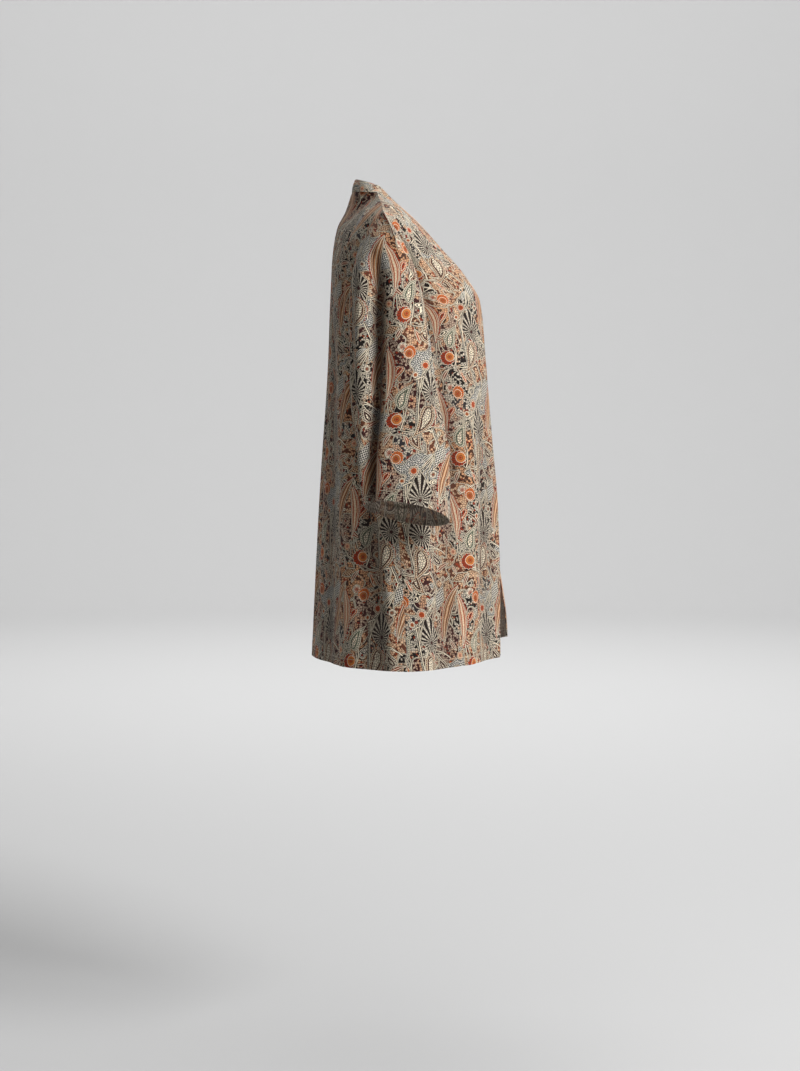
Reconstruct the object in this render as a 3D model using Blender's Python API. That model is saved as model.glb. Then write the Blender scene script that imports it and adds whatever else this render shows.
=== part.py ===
"""A thigh-length kimono coat, hollow and open down the front, in the shape it takes when it is worn.

Metres, +Z up. The wearer faces -Y, so the coat's right side is at -X. The origin is in the middle of
the neck opening, level with the inner ends of the shoulder seams.

Every panel is a grid of points on the outer face of the cloth, turned into a thin closed wall. Tables
hold the sizes of the panels' sections. "w" is a distance out from the middle plane, so one set of
sizes makes both sides. "drop" is the distance down the middle of the back from the neck seam.
"""

import math

import bpy
import numpy as np

# Driving dimensions
CLOTH = 0.0015
BAND_CLOTH = 0.0022
SEAM_GAP = 0.0006
MITRE_LIMIT = 0.5
HEM_DROP = 0.820
UNDERARM_DROP = 0.370
SHOULDER_TIP = (0.190, -0.010, -0.052)
NECK_SIDE = (0.080, 0.003, -0.008)
BACK_NECK_Y = 0.048
BACK_NECK_Z = -0.002
BAND_SIDE = (0.063, -0.002, 0.004)
BAND_BACK_Y = 0.0424
BAND_BACK_Z = 0.020
BAND_ROLL = 0.0012
SHOULDER_CROWN = 0.004
NECK_SHARE = 0.36  # how much of half the back panel's top is neckline
TOP_BLEND = 0.085  # how far down the shape of the shoulder and neck seams is felt
CORNER_BLEND = 0.030  # how far down the corner between them is felt
CORNER_BLUR = 0.13
ARMHOLE_BLEND = 0.35  # how far down the sleeve the armhole's shape is felt
ARMHOLE_LENGTH = 0.74
CUFF_LENGTH = 0.35
KICK_FORWARD = 0.017  # the left front's lower corner swings out further than the right one's
KICK_UP = 0.022
KICK_START = 0.60

# Grid sizes
ARMHOLE_ROWS = 13
SKIRT_ROWS = 14
NECK_COLUMNS = 4
FRONT_COLUMNS = 12  # as many as each half of the back has beside its neckline
ARMHOLE_CLOSING = 1.25  # above 1, the armhole's points lie closer together towards the underarm
SLEEVE_ROWS = 16
SLEEVE_SPLITS = (5, 5, 5, 5, 4, 3) + 18 * (2,) + (3, 3)  # sleeve columns for each stretch of an armhole

BACK_COLUMN_NAMES = "drop mid_y mid_z mid_pull side_w side_y side_z pull_w pull_y pull_z"
BACK_ROWS = [
    (0.000, 0.0480, -0.002, 0.070, 0.190, -0.010, -0.052, -0.040, 0.010, 0.020),
    (0.035, 0.0590, -0.035, 0.075, 0.195, -0.011, -0.084, -0.014, 0.040, 0.014),
    (0.070, 0.0740, -0.066, 0.085, 0.196, -0.012, -0.118, -0.002, 0.062, 0.010),
    (0.125, 0.0825, -0.120, 0.105, 0.193, -0.012, -0.163, 0.004, 0.080, 0.006),
    (0.170, 0.0850, -0.165, 0.113, 0.190, -0.012, -0.200, 0.006, 0.086, 0.004),
    (0.215, 0.0870, -0.210, 0.115, 0.187, -0.012, -0.236, 0.006, 0.085, 0.002),
    (0.305, 0.0905, -0.300, 0.110, 0.185, -0.012, -0.308, 0.004, 0.074, 0.000),
    (0.370, 0.0940, -0.368, 0.102, 0.187, -0.012, -0.372, 0.001, 0.067, 0.000),
    (0.450, 0.0985, -0.448, 0.100, 0.193, -0.020, -0.450, 0.000, 0.067, 0.000),
    (0.560, 0.1040, -0.560, 0.100, 0.206, -0.031, -0.560, 0.000, 0.072, 0.000),
    (0.700, 0.1110, -0.700, 0.104, 0.228, -0.043, -0.700, -0.001, 0.079, 0.000),
    (0.820, 0.1170, -0.822, 0.110, 0.249, -0.050, -0.822, -0.003, 0.086, 0.000),
]

FRONT_COLUMN_NAMES = "drop edge_w edge_y edge_z pull_out pull_on side_w side_y side_z pull_w pull_y pull_z"
FRONT_ROWS = [
    (0.000, 0.080, 0.003, -0.008, 0.035, -0.004, 0.190, -0.010, -0.052, -0.035, 0.000, 0.014),
    (0.035, 0.080, -0.026, -0.026, 0.036, -0.010, 0.195, -0.011, -0.084, -0.006, -0.036, 0.014),
    (0.070, 0.077, -0.064, -0.062, 0.040, -0.010, 0.196, -0.012, -0.118, -0.004, -0.052, 0.012),
    (0.125, 0.071, -0.111, -0.112, 0.042, -0.010, 0.193, -0.012, -0.163, -0.002, -0.066, 0.010),
    (0.170, 0.065, -0.151, -0.157, 0.045, -0.011, 0.190, -0.012, -0.200, 0.000, -0.078, 0.006),
    (0.215, 0.058, -0.176, -0.200, 0.048, -0.012, 0.187, -0.012, -0.236, 0.002, -0.090, 0.003),
    (0.305, 0.051, -0.186, -0.300, 0.051, -0.012, 0.185, -0.012, -0.308, 0.004, -0.096, 0.000),
    (0.370, 0.050, -0.192, -0.370, 0.052, -0.012, 0.187, -0.012, -0.372, 0.004, -0.096, 0.000),
    (0.450, 0.050, -0.199, -0.450, 0.053, -0.010, 0.193, -0.020, -0.450, 0.004, -0.092, 0.000),
    (0.560, 0.051, -0.206, -0.559, 0.054, -0.006, 0.206, -0.031, -0.560, 0.003, -0.084, 0.000),
    (0.700, 0.053, -0.212, -0.698, 0.056, -0.001, 0.228, -0.043, -0.700, 0.001, -0.070, 0.000),
    (0.820, 0.056, -0.214, -0.817, 0.058, 0.004, 0.249, -0.050, -0.822, 0.000, -0.058, 0.000),
]

# How much of each row lies between its inner edge and the armhole that cuts it.
ARMHOLE_COLUMN_NAMES = "drop back_share front_share"
ARMHOLE_ROWS_TABLE = [
    (0.000, 1.000, 1.000),
    (0.015, 0.870, 0.900),
    (0.035, 0.775, 0.805),
    (0.070, 0.715, 0.735),
    (0.125, 0.700, 0.740),
    (0.170, 0.697, 0.760),
    (0.215, 0.692, 0.770),
    (0.305, 0.690, 0.755),
    (0.335, 0.722, 0.765),
    (0.355, 0.829, 0.840),
    (0.370, 1.000, 1.000),
]

BAND_COLUMN_NAMES = "drop w y z"
BAND_ROWS = [
    (0.000, 0.063, -0.002, 0.004),
    (0.035, 0.061, -0.028, -0.022),
    (0.070, 0.058, -0.066, -0.056),
    (0.125, 0.052, -0.112, -0.106),
    (0.170, 0.045, -0.152, -0.152),
    (0.215, 0.038, -0.177, -0.197),
    (0.305, 0.031, -0.186, -0.300),
    (0.370, 0.030, -0.191, -0.370),
    (0.450, 0.030, -0.198, -0.450),
    (0.560, 0.031, -0.205, -0.560),
    (0.700, 0.033, -0.211, -0.700),
    (0.820, 0.036, -0.213, -0.816),
]

# A sleeve's rings, from the armhole, which stands upright, to the cuff, which lies nearly level.
# "lean" turns the ring's tall axis outwards, "rise" lifts its back.
SLEEVE_COLUMN_NAMES = "along w y z lean half_tall half_back half_front rise"
SLEEVE_ROWS_TABLE = [
    (0.000, 0.188, -0.011, -0.212, 0.7, 0.160, 0.059, 0.060, 0.00),
    (0.090, 0.213, -0.018, -0.238, 4.8, 0.153, 0.068, 0.063, 0.00),
    (0.227, 0.225, -0.025, -0.283, 8.6, 0.134, 0.072, 0.063, 0.00),
    (0.425, 0.233, -0.032, -0.354, 14.0, 0.106, 0.076, 0.064, 0.02),
    (0.620, 0.239, -0.042, -0.427, 21.0, 0.082, 0.078, 0.069, 0.06),
    (0.820, 0.246, -0.050, -0.498, 36.0, 0.059, 0.079, 0.070, 0.13),
    (1.000, 0.256, -0.055, -0.556, 65.0, 0.044, 0.080, 0.065, 0.19),
]

# Soft folds. A fold's line is where its middle lies: (drop, share across the panel) on the body and
# (share along the sleeve, share round from its top line by way of the back) on a sleeve. A negative
# depth is a trough. half_width is in metres.
BACK_FOLDS = [
    dict(line=((0.0, 0.30), (0.82, 0.34)), reach=(0.10, 0.34, 0.83, 0.90), depth=-0.0075, half_width=0.030),
    dict(line=((0.0, 0.52), (0.82, 0.56)), reach=(0.20, 0.50, 0.83, 0.90), depth=0.0065, half_width=0.034),
    dict(line=((0.0, 0.76), (0.82, 0.78)), reach=(0.16, 0.42, 0.83, 0.90), depth=-0.0080, half_width=0.026),
    dict(line=((0.0, 0.00), (0.82, 0.00)), reach=(0.30, 0.60, 0.83, 0.90), depth=0.0040, half_width=0.034),
]
FRONT_FOLDS = [
    dict(line=((0.0, 0.40), (0.82, 0.50)), reach=(0.18, 0.42, 0.83, 0.90), depth=0.0060, half_width=0.020),
    dict(line=((0.0, 0.58), (0.82, 0.66)), reach=(0.20, 0.46, 0.83, 0.90), depth=-0.0075, half_width=0.024),
    dict(line=((0.0, 0.78), (0.82, 0.82)), reach=(0.40, 0.62, 0.83, 0.90), depth=0.0050, half_width=0.026),
    dict(line=((0.0, 0.22), (0.82, 0.28)), reach=(0.26, 0.50, 0.83, 0.90), depth=-0.0045, half_width=0.020),
]
SLEEVE_FOLDS = [
    dict(
        line=((0.0, 0.070), (0.227, 0.044), (0.425, 0.062), (0.62, 0.098), (0.82, 0.158), (1.0, 0.200)),
        reach=(0.08, 0.34, 1.10, 1.20),
        depth=-0.022,
        half_width=0.0125,
    ),
    dict(
        line=((0.0, 0.090), (0.425, 0.140), (1.0, 0.240)),
        reach=(0.04, 0.22, 0.70, 1.10),
        depth=0.006,
        half_width=0.020,
    ),
    dict(
        line=((0.0, 0.970), (0.5, 0.990), (1.0, 0.060)),
        reach=(0.12, 0.34, 0.74, 0.97),
        depth=0.004,
        half_width=0.024,
    ),
    dict(
        line=((0.0, 0.400), (1.0, 0.360)),
        reach=(0.30, 0.55, 0.80, 0.98),
        depth=-0.010,
        half_width=0.018,
    ),
]

MATERIALS = {
    "printed_cloth": ((0.36, 0.29, 0.24), 0.80),
    "band_cloth": ((0.32, 0.26, 0.22), 0.80),
}


class Table:
    """Sections of a panel by name. Sizes between two sections lie on curves that never overshoot."""

    def __init__(self, names, rows):
        self.names = names.split()
        self.values = np.array(rows, float)

    def at(self, key):
        keys = self.values[:, 0]
        key = np.clip(key, keys[0], keys[-1])
        return {name: smooth_curve(keys, self.values[:, i], key) for i, name in enumerate(self.names)}


def smooth_curve(xs, ys, x):
    """The value at x of a smooth curve through the points, which rises only where they rise."""
    step = np.diff(xs)
    slope = np.diff(ys) / step
    bend = np.zeros_like(ys)
    bend[0], bend[-1] = slope[0], slope[-1]
    before, after = 2 * step[1:] + step[:-1], step[1:] + 2 * step[:-1]
    for i in range(len(slope) - 1):
        if slope[i] * slope[i + 1] > 0:
            bend[i + 1] = (before[i] + after[i]) / (before[i] / slope[i] + after[i] / slope[i + 1])
    i = np.clip(np.searchsorted(xs, x, side="right") - 1, 0, len(xs) - 2)
    f = (x - xs[i]) / step[i]
    start, end = (1 + 2 * f) * (1 - f) ** 2, f**2 * (3 - 2 * f)
    rise, fall = f * (1 - f) ** 2 * step[i], f**2 * (f - 1) * step[i]
    return start * ys[i] + end * ys[i + 1] + rise * bend[i] + fall * bend[i + 1]


BACK = Table(BACK_COLUMN_NAMES, BACK_ROWS)
FRONT = Table(FRONT_COLUMN_NAMES, FRONT_ROWS)
ARMHOLE = Table(ARMHOLE_COLUMN_NAMES, ARMHOLE_ROWS_TABLE)
BAND = Table(BAND_COLUMN_NAMES, BAND_ROWS)
SLEEVE = Table(SLEEVE_COLUMN_NAMES, SLEEVE_ROWS_TABLE)


def point(w, y, z):
    return np.stack(np.broadcast_arrays(w, y, z), axis=-1).astype(float)


def bezier(start, first, second, end, u):
    u = np.asarray(u)[..., None]
    return (1 - u) ** 3 * start + 3 * (1 - u) ** 2 * u * first + 3 * (1 - u) * u**2 * second + u**3 * end


def ease(x, start, end):
    """0 before start, 1 after end and smooth between them."""
    f = np.clip((x - start) / (end - start), 0, 1)
    return f * f * (3 - 2 * f)


def shoulder_seam(share):
    """A point of the shoulder seam, from the neck (0) to the tip of the shoulder (1)."""
    neck, tip = np.array(NECK_SIDE), np.array(SHOULDER_TIP)
    line = neck + np.asarray(share)[..., None] * (tip - neck)
    line[..., 2] += SHOULDER_CROWN * np.sin(math.pi * np.asarray(share))
    return line


def neck_seam(share):
    """A point of the back neck seam, from the middle of the back (0) to the shoulder seam (1)."""
    turn = np.asarray(share) * math.pi / 2
    return point(
        NECK_SIDE[0] * np.sin(turn),
        NECK_SIDE[1] + (BACK_NECK_Y - NECK_SIDE[1]) * np.cos(turn),
        BACK_NECK_Z + (NECK_SIDE[2] - BACK_NECK_Z) * np.sin(turn) ** 2,
    )


def back_row(u, drop):
    row = BACK.at(drop)
    middle = point(0 * row["mid_y"], row["mid_y"], row["mid_z"])
    side = point(row["side_w"], row["side_y"], row["side_z"])
    first = middle + point(row["mid_pull"], 0, 0)
    second = side + point(row["pull_w"], row["pull_y"], row["pull_z"])
    return bezier(middle, first, second, side, u)


def front_row(u, drop):
    row = FRONT.at(drop)
    edge = point(row["edge_w"], row["edge_y"], row["edge_z"])
    side = point(row["side_w"], row["side_y"], row["side_z"])
    first = edge + point(row["pull_out"], row["pull_on"], 0)
    second = side + point(row["pull_w"], row["pull_y"], row["pull_z"])
    return bezier(edge, first, second, side, u)


def corner_softened(seam_of, row_of, u, drop):
    """How far a row is moved to meet its seam. The seam's corners are felt only close to it."""
    fine = np.linspace(-1, 2, 361)
    inside = 1 - np.abs(1 - np.abs(fine))  # the seam goes on past each end as its own mirror image
    exact = seam_of(inside) - row_of(inside, 0 * inside)
    weights = np.exp(-((np.arange(-60, 61) / 120 / CORNER_BLUR) ** 2))
    weights /= weights.sum()
    soft = np.stack([np.convolve(exact[:, k], weights, mode="same") for k in range(3)], axis=-1)
    ends = (0, 1)
    anchor = [exact[np.argmin(np.abs(fine - end))] - soft[np.argmin(np.abs(fine - end))] for end in ends]
    soft += anchor[0] * (1 - inside)[:, None] + anchor[1] * inside[:, None]
    moved_soft = np.stack([np.interp(u, fine, soft[:, k]) for k in range(3)], axis=-1)
    moved_exact = seam_of(u) - row_of(u, 0 * u)
    near = (1 - ease(drop, 0, CORNER_BLEND))[..., None]
    far = (1 - ease(drop, 0, TOP_BLEND))[..., None]
    return far * (moved_soft + near * (moved_exact - moved_soft))


def back_top(u):
    """The back panel's top edge: half the neckline, then a shoulder seam."""
    return np.where(
        (u < NECK_SHARE)[..., None],
        neck_seam(np.clip(u / NECK_SHARE, 0, 1)),
        shoulder_seam(np.clip((u - NECK_SHARE) / (1 - NECK_SHARE), 0, 1)),
    )


def back_panel(u, drop):
    """Half the back panel: u from the middle (0) to the armhole or the side seam (1)."""
    u, drop = np.broadcast_arrays(np.asarray(u, float), np.asarray(drop, float))
    across = u * ARMHOLE.at(drop)["back_share"]
    return back_row(across, drop) + corner_softened(back_top, back_row, u, drop)


def front_panel(u, drop):
    """A front panel: u from the band seam (0) to the armhole or the side seam (1)."""
    u, drop = np.broadcast_arrays(np.asarray(u, float), np.asarray(drop, float))
    across = u * ARMHOLE.at(drop)["front_share"]
    felt = (1 - ease(drop, 0, TOP_BLEND))[..., None]
    return front_row(across, drop) + (shoulder_seam(u) - front_row(u, 0 * drop)) * felt


def kicked(points, u, drop):
    """Points of the left front or its band, with the lower corner swung forward and up."""
    share = ease(drop, KICK_START, HEM_DROP) * (1 - np.clip(u, 0, 1)) ** 2
    return points + point(0 * share, -KICK_FORWARD * share, KICK_UP * share)


def armhole_drops(count):
    """Drops of the rows that end at an armhole, spaced along it from the shoulder to the underarm."""
    fine = np.linspace(0, UNDERARM_DROP, 600)
    sides = [back_panel(1.0, fine), front_panel(1.0, fine)]
    lengths = sum(np.linalg.norm(np.diff(side, axis=0), axis=1) for side in sides)
    travelled = np.concatenate([[0], np.cumsum(lengths)])
    wanted = 1 - (1 - np.linspace(0, 1, count + 1)) ** ARMHOLE_CLOSING
    return np.interp(wanted * travelled[-1], travelled, fine)


def armhole(count):
    """The armhole as a closed line of points: from the shoulder tip down the back and up the front."""
    drops = armhole_drops(count)
    down = back_panel(1.0, drops)
    up = front_panel(1.0, drops[::-1])
    return np.concatenate([down, up[1:]])


def followed(u, along):
    """Shares round the sleeve, moved so that one column runs down the middle of the deepest fold."""
    line = fold_line(SLEEVE_FOLDS[0], along)
    start = fold_line(SLEEVE_FOLDS[0], 0.0)
    near = 0.5 + 0.5 * np.cos(2 * math.pi * (u - start))
    return u + (line - start) * near


def sleeve_ring(u, along):
    """The sleeve's rings with no armhole: u from the top line (0) round by the back to itself (1)."""
    row = SLEEVE.at(along)
    lean = np.radians(row["lean"])
    tall = point(np.sin(lean), 0, np.cos(lean)) * row["half_tall"][..., None]
    level = point(0 * lean, 1, row["rise"])
    fine = np.linspace(0, 2 * math.pi, 361)
    rings = []
    for i in range(len(along)):
        depth = np.where(np.sin(fine) > 0, row["half_back"][i], row["half_front"][i])
        ring = np.outer(np.cos(fine), tall[i]) + np.outer(np.sin(fine) * depth, level[i])
        half = len(fine) // 2
        steps = np.linalg.norm(np.diff(ring, axis=0), axis=1)
        back = np.concatenate([[0], np.cumsum(steps[:half])])
        front = np.concatenate([[0], np.cumsum(steps[half:])])
        travelled = np.concatenate([0.5 * back / back[-1], 0.5 + 0.5 * front[1:] / front[-1]])
        middle = np.array([row["w"][i], row["y"][i], row["z"][i]])
        share = followed(u, along[i]) % 1.0
        rings.append(middle + np.stack([np.interp(share, travelled, ring[:, k]) for k in range(3)], axis=-1))
    return np.array(rings)


def armhole_shares(points):
    """How far round the armhole each of its points lies: 0.5 at the underarm and 1 at the shoulder again."""
    steps = np.linalg.norm(np.diff(points, axis=0), axis=1)
    travelled = np.concatenate([[0], np.cumsum(steps)])
    middle = travelled[len(points) // 2]
    front = 0.5 + 0.5 * (travelled - middle) / (travelled[-1] - middle)
    return np.where(travelled < middle, 0.5 * travelled / middle, front)


def sleeve_columns(marks):
    """Shares round the sleeve, closest where its deepest fold lies, with one at every armhole point."""
    shares = []
    for i, count in enumerate(SLEEVE_SPLITS):
        shares.extend(np.linspace(marks[i], marks[i + 1], count + 1)[:-1])
    return np.array(shares + [1.0])


def sleeve(u, rows, armhole_points, marks):
    """The sleeve as a grid of rings from the armhole to the cuff, its first column repeated at the end."""
    along = np.linspace(0, 1, rows + 1)
    grid = sleeve_ring(u, along)
    opening = np.stack([np.interp(u, marks, armhole_points[:, k]) for k in range(3)], axis=-1)
    felt = np.clip(1 - along / ARMHOLE_BLEND, 0, 1) ** 2
    return grid + felt[:, None, None] * (opening - grid[0]), along


def window(x, stretch):
    """1 inside a stretch given as (start, full, full until, end), and 0 outside it."""
    start, full, until, end = stretch
    return ease(x, start, full) * (1 - ease(x, until, end))


def fold_line(fold, key):
    keys, shares = np.array(fold["line"]).T
    return smooth_curve(keys, shares, np.clip(key, keys[0], keys[-1]))


def panel_folds(folds, u, share, drop, width):
    """How far a panel's folds push its points out. They die away at the side."""
    moved = np.zeros(np.broadcast(u, drop).shape)
    for fold in folds:
        apart = (u * share - fold_line(fold, drop)) * width
        moved += fold["depth"] * np.exp(-((apart / fold["half_width"]) ** 2)) * window(drop, fold["reach"])
    return moved * (1 - ease(u, 0.86, 1.0))


def sleeve_folds(u, along):
    moved = np.zeros(np.broadcast(u, along).shape)
    length = ARMHOLE_LENGTH + (CUFF_LENGTH - ARMHOLE_LENGTH) * along
    for fold in SLEEVE_FOLDS:
        apart = (followed(u, along) - fold_line(fold, along) + 0.5) % 1.0 - 0.5
        bump = np.exp(-((apart * length / fold["half_width"]) ** 2))
        moved += fold["depth"] * bump * window(along, fold["reach"])
    return moved


def shared_places(grids):
    """For each point of each grid, the number of its place in space, which touching grids share."""
    points = np.concatenate([g.reshape(-1, 3) for g in grids])
    _, place = np.unique(np.round(points * 1e5), axis=0, return_inverse=True)
    starts = np.cumsum([0] + [g.shape[0] * g.shape[1] for g in grids])
    return [place.reshape(-1)[a:b].reshape(g.shape[:2]) for g, a, b in zip(grids, starts, starts[1:])]


def corner_angles(corner, one, other):
    first, second = one - corner, other - corner
    sizes = np.linalg.norm(first, axis=-1) * np.linalg.norm(second, axis=-1)
    return np.arccos(np.clip((first * second).sum(axis=-1) / np.maximum(sizes, 1e-15), -1, 1))


def grid_normals(grids):
    """The outward normals of each grid, shared by grids where their edge points coincide."""
    places = shared_places(grids)
    total = np.zeros((max(at.max() for at in places) + 1, 3))
    for g, at in zip(grids, places):
        a, b, c, d = g[:-1, :-1], g[:-1, 1:], g[1:, 1:], g[1:, :-1]
        faces = np.cross(b - d, c - a)
        faces /= np.maximum(np.linalg.norm(faces, axis=-1, keepdims=True), 1e-12)
        np.add.at(total, at[:-1, :-1], faces * corner_angles(a, b, d)[..., None])
        np.add.at(total, at[:-1, 1:], faces * corner_angles(b, c, a)[..., None])
        np.add.at(total, at[1:, 1:], faces * corner_angles(c, d, b)[..., None])
        np.add.at(total, at[1:, :-1], faces * corner_angles(d, a, c)[..., None])
    total /= np.maximum(np.linalg.norm(total, axis=-1, keepdims=True), 1e-12)
    return [total[at] for at in places]


def mitred(normals, grids):
    """Shared normals, made longer where pieces meet at an angle so that the walls keep their thickness."""
    places = shared_places(grids)
    total, count = np.zeros((2, max(at.max() for at in places) + 1))
    for normal, grid, at in zip(normals, grids, places):
        own = grid_normals([grid])[0]
        np.add.at(total, at, (normal * own).sum(axis=-1))
        np.add.at(count, at, 1)
    share = np.maximum(total / np.maximum(count, 1), MITRE_LIMIT)
    return [normal / share[at][..., None] for normal, at in zip(normals, places)]


def between_seam_points(depths, shares, marks):
    """The wall's depth round a sleeve's first ring, drawn from the points that the body's panels share."""
    at = [int(np.argmin(np.abs(shares - mark))) for mark in marks]
    return np.stack([np.interp(shares, marks, depths[at, k]) for k in range(3)], axis=-1)


def mirrored(grid):
    """The same grid on the other side of the middle plane, with its faces still pointing out."""
    return (grid * np.array([-1, 1, 1]))[:, ::-1]


def pulled_in(grid, normals, sides):
    """The grid with the named edges drawn in, square to themselves, by half a seam's gap."""
    drawn = grid.copy()
    for side in sides:
        edge, inner = {
            "top": (np.s_[0], np.s_[1]),
            "bottom": (np.s_[-1], np.s_[-2]),
            "first": (np.s_[:, 0], np.s_[:, 1]),
            "last": (np.s_[:, -1], np.s_[:, -2]),
        }[side]
        line = grid[edge]
        along = np.gradient(line, axis=0)
        if np.allclose(line[0], line[-1]):
            along[0] = along[-1] = line[1] - line[-2]
        away = np.cross(normals[edge], along)
        away *= np.sign((away * (grid[inner] - line)).sum(axis=-1, keepdims=True))
        drawn[edge] += away / np.linalg.norm(away, axis=-1, keepdims=True) * SEAM_GAP / 2
    return drawn


def wall(name, grid, depths, thickness, seams, material, tube=False):
    """A closed thin wall with the grid as its outer face. A tube's last column is its first one."""
    outer = pulled_in(grid, grid_normals([grid])[0], seams)
    inner = outer - depths * thickness
    if tube:
        outer, inner = outer[:, :-1], inner[:, :-1]
    rows, columns = outer.shape[:2]
    count = rows * columns
    vertices = np.concatenate([outer.reshape(-1, 3), inner.reshape(-1, 3)])

    def at(i, j):
        return i * columns + j % columns

    faces = []
    for i in range(rows - 1):
        for j in range(columns if tube else columns - 1):
            ring = [at(i, j), at(i, j + 1), at(i + 1, j + 1), at(i + 1, j)]
            faces.append(ring)
            faces.append([count + v for v in reversed(ring)])
    edges = []
    for j in range(columns if tube else columns - 1):
        edges.append((at(0, j + 1), at(0, j)))
        edges.append((at(rows - 1, j), at(rows - 1, j + 1)))
    if not tube:
        for i in range(rows - 1):
            edges.append((at(i, 0), at(i + 1, 0)))
            edges.append((at(i + 1, columns - 1), at(i, columns - 1)))
    faces.extend([a, b, count + b, count + a] for a, b in edges)
    mesh = bpy.data.meshes.new(name)
    mesh.from_pydata([tuple(v) for v in vertices], [], faces)
    mesh.update()
    mesh.materials.append(material)
    mesh.shade_smooth()
    mesh.set_sharp_from_angle(angle=math.radians(66))
    piece = bpy.data.objects.new(name, mesh)
    bpy.context.scene.collection.objects.link(piece)
    return piece


def cloth_material(name):
    colour, roughness = MATERIALS[name]
    material = bpy.data.materials.new(name)
    material.use_nodes = True
    shader = material.node_tree.nodes["Principled BSDF"]
    shader.inputs["Base Color"].default_value = (*colour, 1)
    shader.inputs["Roughness"].default_value = roughness
    shader.inputs["Metallic"].default_value = 0
    return material


def body_drops():
    """The drops of the body panels' rows: even along the armhole, then even down to the hem."""
    skirt = np.linspace(UNDERARM_DROP, HEM_DROP, SKIRT_ROWS + 1)
    return np.concatenate([armhole_drops(ARMHOLE_ROWS), skirt[1:]])


def back_grid(drops):
    neck = np.linspace(0, NECK_SHARE, NECK_COLUMNS + 1)
    shoulder = np.linspace(NECK_SHARE, 1, FRONT_COLUMNS + 1)
    u = np.concatenate([neck, shoulder[1:]])
    half = back_panel(u[None, :], drops[:, None])
    share = ARMHOLE.at(drops[:, None])["back_share"]
    moved = panel_folds(BACK_FOLDS, u[None, :], share, drops[:, None], 0.30)
    return np.concatenate([mirrored(half)[:, :-1], half], axis=1), np.concatenate(
        [moved[:, ::-1][:, :-1], moved], axis=1
    )


def front_grid(drops):
    u = np.linspace(0, 1, FRONT_COLUMNS + 1)
    grid = front_panel(u[None, :], drops[:, None])
    share = ARMHOLE.at(drops[:, None])["front_share"]
    moved = panel_folds(FRONT_FOLDS, u[None, :], share, drops[:, None], 0.27)
    return grid, moved, u


def band_grid(drops, kick):
    """The band beside one front edge, from the shoulder down: free edge, middle, seam."""
    row = BAND.at(drops)
    free = point(row["w"], row["y"], row["z"])
    seam = front_panel(0.0, drops)
    if kick:
        free, seam = kicked(free, 0, drops), kicked(seam, 0, drops)
    return np.stack([free, (free + seam) / 2, seam], axis=1)


def neck_band_grid():
    """The band behind the neck, from the middle of the back to a shoulder seam."""
    share = np.linspace(0, 1, NECK_COLUMNS + 1)
    turn = share * math.pi / 2
    free = point(
        BAND_SIDE[0] * np.sin(turn),
        BAND_SIDE[1] + (BAND_BACK_Y - BAND_SIDE[1]) * np.cos(turn),
        BAND_SIDE[2] + (BAND_BACK_Z - BAND_SIDE[2]) * np.cos(turn),
    )
    seam = neck_seam(share)
    return np.stack([free, (free + seam) / 2, seam], axis=1)


def clear_scene():
    for piece in list(bpy.data.objects):
        bpy.data.objects.remove(piece)


def build():
    clear_scene()
    drops = body_drops()
    back, back_moved = back_grid(drops)
    front, front_moved, across = front_grid(drops)
    left_front = kicked(front, across[None, :], drops[:, None])[:, ::-1]
    right_front = mirrored(front[:, ::-1])
    opening = armhole(ARMHOLE_ROWS)
    marks = armhole_shares(opening)
    round_sleeve = sleeve_columns(marks)
    left_sleeve, along = sleeve(round_sleeve, SLEEVE_ROWS, opening, marks)
    left_sleeve = left_sleeve[:, ::-1]
    sleeve_moved = sleeve_folds(round_sleeve[None, :], along[:, None])[:, ::-1]
    right_sleeve = mirrored(left_sleeve)

    left_band, right_band = band_grid(drops, True), band_grid(drops, False)
    neck_band = neck_band_grid()
    mirror = np.array([-1, 1, 1])
    band = np.concatenate(
        [right_band[::-1] * mirror, neck_band[::-1][1:] * mirror, neck_band[1:], left_band[1:]]
    )[:, ::-1]

    grids = [back, left_front, right_front, left_sleeve, right_sleeve, band]
    moved = [back_moved, front_moved[:, ::-1], front_moved, sleeve_moved, sleeve_moved[:, ::-1]]
    roll = np.zeros(band.shape[:2])
    roll[:, 1] = BAND_ROLL
    moved.append(roll)
    normals = grid_normals(grids)
    grids = [g + n * m[..., None] for g, n, m in zip(grids, normals, moved)]
    depths = mitred(grid_normals(grids), grids)
    depths[3][0] = between_seam_points(depths[3][0][::-1], round_sleeve, marks)[::-1]
    depths[4][0] = between_seam_points(depths[4][0], round_sleeve, marks)

    band, band_depths = grids[5], depths[5]

    cloth, band_cloth = cloth_material("printed_cloth"), cloth_material("band_cloth")
    wall("back", grids[0], depths[0], CLOTH, ["top", "first", "last"], cloth)
    wall("front_left", grids[1], depths[1], CLOTH, ["top", "first", "last"], cloth)
    wall("front_right", grids[2], depths[2], CLOTH, ["top", "first", "last"], cloth)
    wall("sleeve_left", grids[3], depths[3], CLOTH, ["top"], cloth, tube=True)
    wall("sleeve_right", grids[4], depths[4], CLOTH, ["top"], cloth, tube=True)
    right_half, left_half = np.s_[: len(drops) + NECK_COLUMNS], np.s_[len(drops) + NECK_COLUMNS - 1 :]
    wall("neck_band_right", band[right_half], band_depths[right_half], BAND_CLOTH, ["first", "bottom"], band_cloth)
    wall("neck_band_left", band[left_half], band_depths[left_half], BAND_CLOTH, ["first", "top"], band_cloth)


build()
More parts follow.
